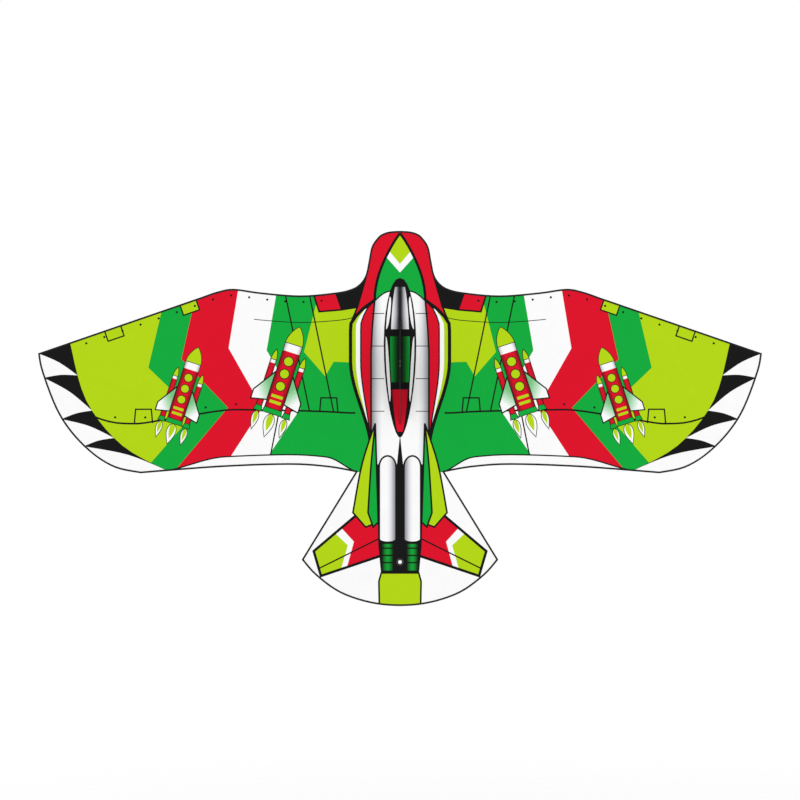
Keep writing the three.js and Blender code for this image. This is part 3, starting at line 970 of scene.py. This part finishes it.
def sail_triangles():
    """Splits the half sail along every printed boundary, and finds each triangle's area of print."""
    art = draw_print()
    hole = circle((0, EYELET_Z), EYELET_HOLE, 32)
    points = []
    edges = []
    for outline in [OUTLINE] + [area for area, _ in art.areas] + [hole]:
        shape = spaced([*outline, outline[0]], EDGE_GAP)[:-1]
        first = len(points)
        edges.extend((first + i, first + (i + 1) % len(shape)) for i in range(len(shape)))
        points.extend(shape)
    points += art.extra + grid_points(OUTLINE, GRID_GAP)
    places, _, triangles, _, _, _ = delaunay_2d_cdt([Vector(p) for p in points], edges, [], 0, 1e-3, False)
    corners = np.array([tuple(p) for p in places])
    middles = corners[np.array(triangles)].mean(axis=1)
    owners = np.full(len(triangles), NOT_CLOTH)
    paint(OUTLINE, middles, owners, PLAIN_CLOTH)
    cloth = owners == PLAIN_CLOTH
    for number, (outline, _) in enumerate(art.areas):
        paint(outline, middles, owners, number)
    owners[~cloth] = NOT_CLOTH
    paint(hole, middles, owners, NOT_CLOTH)
    kept = [(list(t), int(owner)) for t, owner in zip(triangles, owners) if owner != NOT_CLOTH]
    return places, kept, art


def open_edges(faces):
    """Edges with a face on one side only, in that face's direction."""
    seen = {edge for face in faces for edge in loop(face)}
    return [(a, b) for a, b in sorted(seen) if (b, a) not in seen]


def sail_mesh(name, side, places, kept, art):
    """One half of the sail: the printed face, its back, and the cut edge between them."""
    used = sorted({i for triangle, _ in kept for i in triangle})
    index = {old: new for new, old in enumerate(used)}
    count = len(used)
    front = []
    back = []
    normals = []
    for x, z in (places[i] for i in used):
        y = CLOTH_FRONT + relief(abs(x), z)
        front.append((side * x, y, z))
        back.append((side * x, y + CLOTH_THICKNESS, z))
        way = relief_normal(abs(x), z)
        normals.append(Vector((side * way.x, way.y, way.z)))
    faces = []
    colours = []
    for triangle, area in kept:
        for i in triangle[::side]:
            x, z = places[i]
            colours.append(WHITE if area == PLAIN_CLOTH else art.areas[area][1](x, z))
        faces.append([index[i] for i in triangle[::side]])
    front_faces = list(faces)
    for number, face in enumerate(front_faces):
        faces.append([count + i for i in reversed(face)])
        colours.extend(reversed(colours[3 * number:3 * number + 3]))
    for a, b in open_edges(front_faces):
        faces.append([b, a, count + a, count + b])
        colours.extend([WHITE] * 4)
    mesh = bpy.data.meshes.new(name)
    mesh.from_pydata([Vector(v) * MM for v in front + back], [], faces)
    layer = mesh.color_attributes.new("print", "FLOAT_COLOR", "CORNER")
    layer.data.foreach_set("color", [value for colour in colours for value in light_of(colour)])
    mesh.materials.append(FRONT_CLOTH)
    mesh.materials.append(BACK_CLOTH)
    hidden = len(faces) - len(front_faces)
    mesh.polygons.foreach_set("material_index", [0] * len(front_faces) + [1] * hidden)
    mesh.shade_smooth()
    mesh.normals_split_custom_set_from_vertices(normals + [-n for n in normals])
    return new_object(name, mesh)


def make_sail():
    places, kept, art = sail_triangles()
    area = abs(signed_area(OUTLINE)) * MM * MM
    for name, side in WINGS:
        nodes = (f"{name}_wing_sail", f"{name}_fold_strip", "sail_centre_strip")
        sail = sail_mesh(f"{name}_sail", side, places, kept, art)
        attach(sail, f"{name}_wing", nodes, bends=True)
        binding = make_binding(name, side)


def make_binding(name, side):
    """The overlocked edge: a narrow band wrapped round the cloth, ridged by its stitches."""
    path = spaced(OUTLINE, 1.3)
    inner = BINDING_WIDTH - 0.3
    section = [
        (0.25, -1), (0, -0.5), (0, 0.5), (0.25, 1),
        (inner, 1), (BINDING_WIDTH, 0.4), (BINDING_WIDTH, -0.4), (inner, -1),
    ]
    rings = []
    for i, ((x, z), way) in enumerate(zip(path, sides_of(path))):
        middle = CLOTH_FRONT + CLOTH_THICKNESS / 2 + relief(x, z)
        half = BINDING_THICKNESS / 2 * (1.0 if i % 2 else 0.82)
        rings.append([
            (side * max(x + way.x * a, 0), middle + depth * half, z + way.y * a) for a, depth in section
        ])
    body, node = f"{name}_wing", f"{name}_edge_binding"
    return Shell().rings(rings).piece(f"{name}_binding", BLACK_THREAD, body, node, sharp=60, bends=True)


# -------- stitches, patches and sleeves

THREAD_RADIUS = 0.22
PATCH_CORNER = 3
ON_PATCH = PATCH_BACK + 0.1
PATCH_EDGE = [(0.1, PATCH_FRONT - 0.3), (0, PATCH_FRONT), (0.25, PATCH_BACK), (1.2, PATCH_BACK)]
TIP_PATCH = [(545, 31), (590, 15), (588, -6), (580, -32), (550, -12)]
TAIL_PATCH = [(138, -293), (158, -323), (137, -347), (118, -333), (121, -300)]
NOSE_PATCH = [(-9, 180), (9, 180), (9, 210), (6, 216), (-6, 216), (-9, 210)]
EYELET_PATCH = [(-9, -346), (9, -346), (9, -290), (-9, -290)]
SLEEVE_ARCH = [
    (-4.2, PATCH_FRONT), (-3.2, 73.2), (-2.9, 76), (-2.0, 78), (0, 78.8),
    (2.0, 78), (2.9, 76), (3.2, 73.2), (4.2, PATCH_FRONT),
]
SLEEVE_MIDDLE = 75.5
SLEEVE_FLAP = 12
SPINE_FLAP = 8.5
WING_SEAM = 2.5
SPINE_SEAM = 1.8
SLEEVE_WALL = 0.35


def add_stitches(shell, path, depth, pitch=3.2, length=2.1, zigzag=0.0, place=None, side=1):
    """Separate stitches along a path in a plane; place gives the spot of (across, depth, up)."""
    place = place or (lambda across, depth, up: (side * across, depth, up))
    steps = 4
    line = spaced(path, pitch / steps)
    for i in range(0, len(line) - steps, steps):
        start = Vector(line[i])
        along = Vector(line[i + steps]) - start
        if along.length > pitch / 2:
            along.normalize()
            across = Vector((-along.y, along.x))
            lift = zigzag if (i // steps) % 2 else -zigzag
            first = start - across * lift
            add_stitch(shell, first, first + along * length + across * 2 * lift, depth, place)


def add_stitch(shell, first, last, depth, place):
    """One stitch of round thread, which dips into the cloth at its ends."""
    across = (last - first).normalized().orthogonal()
    rings = []
    for share, size in ((0, 0.35), (0.2, 1), (0.8, 1), (1, 0.35)):
        spot = first.lerp(last, share)
        ring = circle((0, 0), THREAD_RADIUS * size, 6)
        rings.append([place(spot.x + across.x * a, depth + d, spot.y + across.y * a) for a, d in ring])
    shell.rings(rings)


def inset(points, distance):
    """A closed outline moved inwards."""
    turned = list(points) if signed_area(points) < 0 else list(reversed(points))
    return offset(turned, sides_of(turned, True), distance)


def rounded_corners(points):
    """A patch's outline with each corner cut back and rounded."""
    rounded = []
    for i, corner in enumerate(points):
        here = Vector(corner)
        start, end = (
            here + (Vector(other) - here).normalized() * PATCH_CORNER
            for other in (points[i - 1], points[(i + 1) % len(points)])
        )
        rounded += [tuple(start.lerp(here, t).lerp(here.lerp(end, t), t)) for t in (0, 0.25, 0.5, 0.75, 1)]
    return rounded


def patch_rings(corners, side=1):
    """A cloth patch on the back of the sail with a soft edge, which follows the sail's relief."""
    outline = rounded_corners(corners)
    return [
        [(side * x, depth + relief(abs(x), z), z) for x, z in inset(outline, distance)]
        for distance, depth in PATCH_EDGE
    ]


def make_wing_patches(name, side):
    body = f"{name}_wing"
    for kind, corners in (("tip", TIP_PATCH), ("tail", TAIL_PATCH)):
        patch = f"{name}_{kind}_patch"
        Shell().rings(patch_rings(corners, side)).piece(f"{patch}_cloth", BLACK_CLOTH, body, patch)
        sewing = Shell()
        edge = inset(rounded_corners(corners), WING_SEAM)
        add_stitches(sewing, edge + edge[:1], ON_PATCH, side=side, zigzag=0.7)
        sewing.piece(f"{patch}_stitches", WHITE_THREAD, body)


def make_spine_patches():
    Shell().rings(patch_rings(NOSE_PATCH)).piece("nose_patch_cloth", BLACK_CLOTH, "spine", "nose_patch")
    eyelet_patch = Shell().rings(eyelet_patch_rings(), closed=True)
    eyelet_patch.piece("eyelet_patch_cloth", BLACK_CLOTH, "spine", "tail_patch")
    sewing = Shell()
    for corners in (NOSE_PATCH, EYELET_PATCH):
        edge = inset(rounded_corners(corners), SPINE_SEAM)
        add_stitches(sewing, edge + edge[:1], ON_PATCH, pitch=2.8, length=1.9, zigzag=0.5)
    sewing.piece("spine_patch_stitches", WHITE_THREAD, "spine")


def eyelet_patch_rings():
    """The eyelet's patch: a rectangle with a round hole, as one closed strip round the hole."""
    half_width, top = EYELET_PATCH[2]
    bottom = EYELET_PATCH[0][1]
    rings = []
    for x, z in (Vector(spot) for spot in circle((0, 0), 1, 48)):
        up = top - EYELET_Z if z > 0 else EYELET_Z - bottom
        reach = min(half_width / max(abs(x), 1e-6), up / max(abs(z), 1e-6))
        ring = []
        for share, depth in (
            (0, PATCH_FRONT), (1, PATCH_FRONT), (1, PATCH_BACK - 0.1), (0.97, PATCH_BACK), (0, PATCH_BACK),
        ):
            distance = EYELET_HOLE + (reach - EYELET_HOLE) * share
            ring.append((x * distance, depth, EYELET_Z + z * distance))
        rings.append(ring)
    return rings


def sleeve_section(outer, inner):
    """A strip of cloth that arches over a rod; outer and inner are how far its two flaps reach."""
    foot = PATCH_FRONT - SLEEVE_WALL
    under = []
    for a, y in SLEEVE_ARCH:
        way = Vector((a, y - SLEEVE_MIDDLE)).normalized()
        under.append((a - way.x * SLEEVE_WALL, max(y - way.y * SLEEVE_WALL, foot)))
    top = [(-outer, PATCH_FRONT), *SLEEVE_ARCH, (inner, PATCH_FRONT)]
    return [*top, (inner, foot), *reversed(under), (-outer, foot)]


def make_sleeve(name, path, outer, inner, side, body, material, node):
    across = sides_of(path)
    section = sleeve_section(outer, inner)
    rings = [ring_at(spot, way, section, side) for spot, way in zip(path, across)]
    Shell().rings(rings).piece(f"{name}_cloth", material, body, node, sharp=50)
    sewing = Shell()
    for distance in (-outer + 0.6, inner - 1.2, 4.9):
        if abs(distance) > 4.5:
            add_stitches(sewing, offset(path, across, distance), PATCH_FRONT + 0.1, side=side)
    thread_of = BLACK_THREAD if material is PALE_CLOTH else WHITE_THREAD
    sewing.piece(f"{name}_stitches", thread_of, body)


def make_sleeves():
    for name, side in WINGS:
        for piece, low, high, outer, node in (
            ("leading_sleeve", 105, 442, 5.0, "leading_edge_sleeve"),
            ("tip_sleeve_cloth", 485, 566, 4.8, "tip_sleeve"),
        ):
            path = stretch_of(LEADING_LINE, low, high)
            make_sleeve(f"{name}_{piece}", path, outer, SLEEVE_FLAP, side, f"{name}_wing", BLACK_CLOTH,
                        f"{name}_{node}")
    for kind, low, high in (("nose", 117, 192), ("middle", -203, 42), ("tail", -296, -227)):
        path = spaced([(0, low), (0, high)], 6)
        make_sleeve(f"spine_{kind}_sleeve", path, SPINE_FLAP, SPINE_FLAP, 1, "spine", PALE_CLOTH,
                    f"spine_sleeve_{kind}")


# -------- rods, caps and tubes

TAIL_WAY = (Vector(TAIL_CORNER) - Vector(TAIL_ROD_ORIGIN)).normalized()
TAIL_ROD_LENGTH = math.dist(TAIL_ROD_ORIGIN, TAIL_CORNER) - TAIL_ROD_SHORT
ROD_GAP = 20
CAP_FLOOR = 3
SPINE_CAP = 16
TIP_CAP = 12
TAIL_CAP = 14
STRAIGHT_OUTER = 500


def on_leading_rod(x):
    return Vector((x, height_at(LEADING_LINE, x)))


def on_tail_rod(distance):
    return tuple(Vector(TAIL_ROD_ORIGIN) + TAIL_WAY * distance)


def tail_rod_at(x):
    """The place on the tail rod's line at a distance from the centreline."""
    return on_tail_rod((x - TAIL_ROD_ORIGIN[0]) / TAIL_WAY.x)


def make_rod(name, path, radius, side, body, node):
    Shell().rings(rod_rings(path, radius, radius * 0.3, side)).piece(name, ROD, body, node)


def make_rods():
    spine = spaced([(0, SPINE_BOTTOM), (0, SPINE_TOP)], ROD_GAP)
    make_rod("spine_rod_fibreglass", spine, HEAVY_ROD, 1, "spine", "spine_rod")
    leading = stretch_of(LEADING_LINE, ROD_START, ROD_END)
    spreader_z = height_at(LEADING_LINE, CONNECTOR_X)
    spreader = spaced([(ROD_START, spreader_z), (SPREADER_END, spreader_z)], ROD_GAP)
    tail = spaced([tail_rod_at(ROD_START), on_tail_rod(TAIL_ROD_LENGTH)], ROD_GAP)
    for name, side in WINGS:
        for piece, path, radius, node in (
            ("leading_rod", leading, LIGHT_ROD, "leading_edge_rod"),
            ("spreader", spreader, HEAVY_ROD, "spreader_rod"),
            ("tail_rod_fibreglass", tail, LIGHT_ROD, "tail_rod"),
        ):
            make_rod(f"{name}_{piece}", path, radius, side, f"{name}_wing", f"{name}_{node}")


def cap_profile(length, rod_radius):
    """A vinyl cap with a rounded end and a bead at its mouth, bored for its rod."""
    bore = rod_radius + BORE_CLEARANCE
    outer = bore + 1.9
    dome = [(outer * math.sin(a), length - 2.6 + 2.6 * math.cos(a)) for a in (0, 0.35, 0.7, 1.05, 1.4)]
    neck = [(outer - 0.2, length - 2.8), (outer - 0.2, 3.2)]
    bead = [(outer - 0.1, 2.6), (outer, 2.2), (outer, 0.5), (outer - 0.3, 0)]
    return [*dome, *neck, *bead, (bore, 0), (bore, length - CAP_FLOOR), (0, length - CAP_FLOOR)]


def make_cap(name, start, direction, length, rod_radius, body, node):
    cap = Shell().lathe(cap_profile(length, rod_radius), start, direction)
    cap.piece(name, VINYL, body, node)


def make_caps():
    for name, end, way, node in (
        ("nose_cap_vinyl", SPINE_TOP, 1, "nose_cap"), ("tail_nock_vinyl", SPINE_BOTTOM, -1, "tail_nock"),
    ):
        mouth = rod_at((0, end - way * (SPINE_CAP - CAP_FLOOR)))
        make_cap(name, mouth, (0, 0, way), SPINE_CAP, HEAVY_ROD, "spine", node)
    end = on_leading_rod(ROD_END)
    along = (end - on_leading_rod(STRAIGHT_OUTER)).normalized()
    tip_start = end - along * (TIP_CAP - CAP_FLOOR)
    tail_start = on_tail_rod(TAIL_ROD_LENGTH - (TAIL_CAP - CAP_FLOOR))
    for name, side in WINGS:
        for kind, start, way, length in (
            ("tip", tip_start, along, TIP_CAP), ("tail", tail_start, TAIL_WAY, TAIL_CAP),
        ):
            direction = (side * way.x, 0, way.y)
            make_cap(f"{name}_{kind}_cap_vinyl", rod_at(start, side), direction, length, LIGHT_ROD,
                     f"{name}_wing", f"{name}_{kind}_cap")


def make_tubes():
    """Vinyl tubes with soft cut ends, in many rings so that they bend at the fold."""
    leading, centre = ([(x, z) for x in (TUBE_START, TUBE_END)] for z in (LEADING_HUB_Z, CENTRE_HUB_Z))
    tail = [tail_rod_at(x) for x in (TAIL_TUBE_START, TUBE_END)]
    for name, side in WINGS:
        for piece, ends, rod_radius, node in (
            ("leading_tube", leading, LIGHT_ROD, "leading_edge_tube"),
            ("centre_tube", centre, HEAVY_ROD, "spreader_tube"),
            ("tail_rod_tube", tail, LIGHT_ROD, "tail_tube"),
        ):
            path = spaced(ends, 1.0)
            bore = round_section(rod_radius + BORE_CLEARANCE, 24)
            inside = [ring_at(spot, way, bore, side) for spot, way in zip(path, sides_of(path))]
            tube = Shell().rings(rod_rings(path, TUBE_RADIUS, 0.4, side, 24) + inside[::-1], closed=True)
            tube.piece(f"{name}_{piece}", VINYL, f"{name}_wing", f"{name}_{node}", bends=True)


# -------- hubs and connectors

HUB_HALF_WIDTH = 9.5
HUB_CORNER = 3
HUB_FRONT = PATCH_BACK + 0.3
HUB_BACK = HUB_FRONT + 10
STUB_START = 2.5
RIB = [(-1, 0), (-0.7, 1), (0.7, 1), (1, 0)]
CONNECTOR_REACH = 16


def add_block(shell, half_height, z):
    """A hub's body: a rounded block with eased front and back edges."""
    rings = []
    for depth, shrink in (
        (HUB_FRONT, 0.9), (HUB_FRONT + 0.3, 0.3), (HUB_FRONT + 1, 0),
        (HUB_BACK - 1, 0), (HUB_BACK - 0.3, 0.3), (HUB_BACK, 0.9),
    ):
        ring = []
        reach = HUB_CORNER - shrink
        for sx, sz, base in ((1, 1, 0), (-1, 1, 90), (-1, -1, 180), (1, -1, 270)):
            for step in range(5):
                angle = math.radians(base + 22.5 * step)
                x = sx * (HUB_HALF_WIDTH - HUB_CORNER) + reach * math.cos(angle)
                ring.append((x, depth, z + sz * (half_height - HUB_CORNER) + reach * math.sin(angle)))
        rings.append(ring)
    shell.rings(rings)


def stub_profile(radius):
    """A stub with three barbs that grip the tube."""
    barbs = []
    for start in (4.5, 6.8, 9.1):
        barbs += [(radius - 0.25, start), (radius, start + 0.3), (radius - 0.25, start + 2.0)]
    return [(0, 0), (radius + 0.6, 0), (radius + 0.6, 4.2), *barbs, (radius - 0.4, 11.5), (0, 11.5)]


def make_hub(kind, z, height, stub_radius, direction):
    shell = Shell()
    add_block(shell, height / 2, z)
    slope = direction.y / direction.x
    for side in (-1, 1):
        start = rod_at((STUB_START, z + (STUB_START - TAIL_ROD_ORIGIN[0]) * slope), side)
        shell.lathe(stub_profile(stub_radius), start, (side * direction.x, 0, direction.y), 24)
    for way in (-1, 1):
        collar = [(0, 0), (4.4, 0), (4.4, 0.9), (4.0, 1.4), (2.2, 1.4), (2.2, 0.2), (0, 0.2)]
        shell.lathe(collar, rod_at((0, z + way * (height / 2 - 0.2))), (0, 0, way), 24)
        rib = [(way * 5.2 + 0.5 * a, HUB_BACK - 0.4 + 0.4 * rise) for a, rise in RIB]
        reach = height / 2 - 2.6
        shell.rings([[(x, y, z + end) for x, y in rib] for end in (-reach, reach)])
    shell.piece(f"{kind}_hub_nylon", NYLON, "spine", f"{kind}_hub")


def make_hubs():
    straight = Vector((1, 0))
    make_hub("leading_edge", LEADING_HUB_Z, 16, LIGHT_ROD, straight)
    make_hub("centre", CENTRE_HUB_Z, 20, HEAVY_ROD, straight)
    make_hub("tail", TAIL_ROD_ORIGIN[1], 18, LIGHT_ROD, TAIL_WAY)


def make_connectors():
    """The fitting on each leading edge: a sleeve on the rod with a socket for the spreader."""
    spot = on_leading_rod(CONNECTOR_X)
    along = (on_leading_rod(CONNECTOR_X + CONNECTOR_REACH) - spot).normalized()
    bore = LIGHT_ROD + BORE_CLEARANCE
    half = [(bore, 9), (3.6, 9), (4, 8.6), (4, 7), (3.7, 6.6)]
    tube = [(radius, -place) for radius, place in half] + half[::-1] + [(bore, -9)]
    bore = HEAVY_ROD + BORE_CLEARANCE
    socket = [
        (0, 2), (3.6, 2), (3.6, 26), (4, 26.4), (4, 29.6), (3.7, 30), (bore, 30), (bore, 13), (0, 13),
    ]
    for name, side in WINGS:
        shell = Shell().lathe(tube, rod_at(spot, side), (side * along.x, 0, along.y), 28)
        shell.lathe(socket, rod_at(spot, side), (-side, 0, 0), 28)
        for way in (-1, 1):
            web = [(6, -0.7), (6, 0.7), (13, 0.7), (13, -0.7)]
            near = [(side * (spot.x - a), ROD_PLANE + y, spot.y + way * 3.2) for a, y in web]
            far = [(x, y, spot.y + way * (4.6 if a < 10 else 3.4)) for (x, y, _), (a, _) in zip(near, web)]
            shell.rings([near, far])
        shell.piece(f"{name}_connector", NYLON, f"{name}_wing", f"{name}_spreader_connector")


# -------- keel and eyelets

KEEL_BASE = 69.7
KEEL_TIP_RADIUS = 10
KEEL_TOP = 80
KEEL_BOTTOM = -100
KEEL_HEM = 6.0
KEEL_HALF = 0.3
HEMMED_HALF = 0.45


def keel_outline(shrink=0.0):
    """The keel as (depth, height) points: straight sides that run round the grommet's corner."""
    base = KEEL_BASE - shrink
    radius = KEEL_TIP_RADIUS - shrink
    start = math.atan2(KEEL_TOP, base) + math.acos(radius / math.hypot(base, KEEL_TOP))
    end = FULL_TURN + math.atan2(KEEL_BOTTOM, base) - math.acos(radius / math.hypot(base, KEEL_BOTTOM))
    angles = [start + (end - start) * k / 16 for k in range(17)]
    tip = [(radius * math.cos(angle), radius * math.sin(angle)) for angle in angles]
    return [(base, KEEL_BOTTOM + 2 * shrink), (base, KEEL_TOP - 2 * shrink), *tip]


def reach_of(outline, angle):
    """How far a closed outline round the origin reaches at an angle."""
    way = Vector((math.cos(angle), math.sin(angle)))
    farthest = 0
    for a, b in loop(outline):
        side = Vector(b) - Vector(a)
        cross = way.x * side.y - way.y * side.x
        if abs(cross) > 1e-9:
            distance = (a[0] * side.y - a[1] * side.x) / cross
            share = (a[0] * way.y - a[1] * way.x) / cross
            if -1e-6 <= share <= 1 + 1e-6:
                farthest = max(farthest, distance)
    return farthest


def make_keel():
    """A cloth fin with a turned hem all round, sewn with a row of stitches, and a hole for its eyelet."""
    outer = keel_outline()
    inner = keel_outline(KEEL_HEM)
    evenly = [FULL_TURN * k / 72 for k in range(72)]
    at_corners = [math.atan2(z, y) % FULL_TURN for y, z in outer + inner]
    rings = []
    for angle in sorted(set(evenly + at_corners)):
        edge = reach_of(outer, angle)
        hem = max(reach_of(inner, angle), EYELET_HOLE + 0.1)
        half = [(EYELET_HOLE, KEEL_HALF), (hem, KEEL_HALF), (hem, HEMMED_HALF), (edge, HEMMED_HALF)]
        section = [(reach, -x) for reach, x in half] + half[::-1]
        rings.append([(x, reach * math.cos(angle), reach * math.sin(angle)) for reach, x in section])
    keel = Shell().rings(rings, closed=True).piece(
        "keel_cloth", BLACK_CLOTH, "spine", "keel", slot="keel_cloth",
    )
    sewing = Shell()
    row = keel_outline(KEEL_HEM - 1.4)
    for x in (-0.47, 0.47):
        add_stitches(sewing, [*row, row[0]], x, place=lambda across, depth, up: (depth, across, up))
    stitches = sewing.piece("keel_stitches", GREY_THREAD, "spine")
    abs(signed_area(outer)) * MM * MM


def eyelet_profile(low, high):
    """A rolled eyelet: two domed flanges on a barrel, as one closed profile round its bore."""
    thick = 0.6
    dome = [
        (EYELET_BORE + 0.3, thick), (4.6, thick + 0.05), (5.6, thick * 0.8), (6.0, thick * 0.3), (5.9, 0),
    ]
    lower = [(radius, low - rise) for radius, rise in dome]
    upper = [(radius, high + rise) for radius, rise in reversed(dome)]
    first = (EYELET_BORE, low - 0.2)
    return [first, *lower, (3.65, low), (3.65, high), *upper, (EYELET_BORE, high + 0.2), first]


def make_eyelets():
    for kind, low, high, place, way, node in (
        ("tow", -0.5, 0.5, (0, 0, 0), (1, 0, 0), "tow_grommet"),
        ("tail", CLOTH_FRONT - 0.1, ON_PATCH, (0, 0, EYELET_Z), (0, 1, 0), "tail_eyelet"),
    ):
        eyelet = Shell().lathe(eyelet_profile(low, high), place, way, 40)
        eyelet.piece(f"{kind}_eyelet_metal", ENAMEL, "spine", node)


# -------- stage, light and camera

VIEW_CENTRE_Z = -59.4
CAMERA_DISTANCE = 4000
FIELD = 1326
SENSOR = 36
LIGHT_TARGET = Vector((0, 0.07, -0.06))
LIGHT_SIZE = 2.4
FLOOR_HEIGHT = -1.1
FLOOR_RINGS = 6
FLOOR_SIDES = 64


def make_camera():
    data = bpy.data.cameras.new("camera")
    data.sensor_width = SENSOR
    data.lens = SENSOR * CAMERA_DISTANCE / FIELD
    data.clip_end = 60
    camera = new_object("camera", data)
    camera.location = Vector((0, CLOTH_FRONT - CAMERA_DISTANCE, VIEW_CENTRE_Z)) * MM
    camera.rotation_euler = (math.radians(90), 0, 0)
    bpy.context.scene.camera = camera


def make_light(name, place, energy):
    data = bpy.data.lights.new(name, "AREA")
    data.energy = energy
    data.shape = "DISK"
    data.size = LIGHT_SIZE
    light = new_object(name, data)
    light.location = place
    light.rotation_euler = (LIGHT_TARGET - Vector(place)).to_track_quat("-Z", "Y").to_euler()


def make_floor():
    """A pale floor far below, which fades into the background."""
    mesh = bpy.data.meshes.new("floor")
    vertices = []
    for radius in range(1, FLOOR_RINGS + 1):
        vertices.extend((x, y, FLOOR_HEIGHT) for x, y in circle((0, 0), radius, FLOOR_SIDES))
    faces = [list(range(FLOOR_SIDES))]
    for i in range(0, (FLOOR_RINGS - 1) * FLOOR_SIDES, FLOOR_SIDES):
        for k in range(FLOOR_SIDES):
            n = (k + 1) % FLOOR_SIDES
            faces.append([i + k, i + n, i + FLOOR_SIDES + n, i + FLOOR_SIDES + k])
    mesh.from_pydata(vertices, [], faces)
    finish = Finish("floor", 0.9)
    distance = finish.node("ShaderNodeVectorMath", "Value", {0: finish.place}, operation="LENGTH")
    fade = finish.node(
        "ShaderNodeMapRange", "Result",
        {"Value": distance, "From Min": 1.4, "From Max": 3.6, "To Min": 1.0, "To Max": 0.0},
        interpolation_type="SMOOTHSTEP",
    )
    finish.surface({"Base Color": (0.86, 0.86, 0.86, 1), "Alpha": fade})
    mesh.materials.append(finish.material)
    new_object("floor", mesh)


def make_studio():
    """Soft light from all round, and a white background that is dimmer as a light than it looks."""
    for name, place, energy in (
        ("key_light", (-1.8, -3.2, 2.2), 26), ("fill_light", (2.4, -3.0, 0.8), 16),
        ("back_light", (1.4, 3.4, 1.8), 26), ("back_fill", (-2.2, 3.0, 0.4), 14),
    ):
        make_light(name, place, energy)
    world = bpy.data.worlds.new("studio")
    bpy.context.scene.world = world
    world.use_nodes = True
    tree = world.node_tree
    seen = add_node(tree, "ShaderNodeLightPath", "Is Camera Ray", {})
    level = add_node(tree, "ShaderNodeMapRange", "Result", {"Value": seen, "To Min": 0.84, "To Max": 1.0})
    feed(tree, tree.nodes["Background"], {"Color": (1, 1, 1, 1), "Strength": level})
    bpy.context.scene.view_settings.view_transform = "Standard"


make_camera()
make_floor()
make_studio()
make_rods()
make_caps()
make_tubes()
make_hubs()
make_connectors()
make_sleeves()
make_spine_patches()
for wing_name, wing_side in WINGS:
    make_wing_patches(wing_name, wing_side)
make_sail()
make_keel()
make_eyelets()
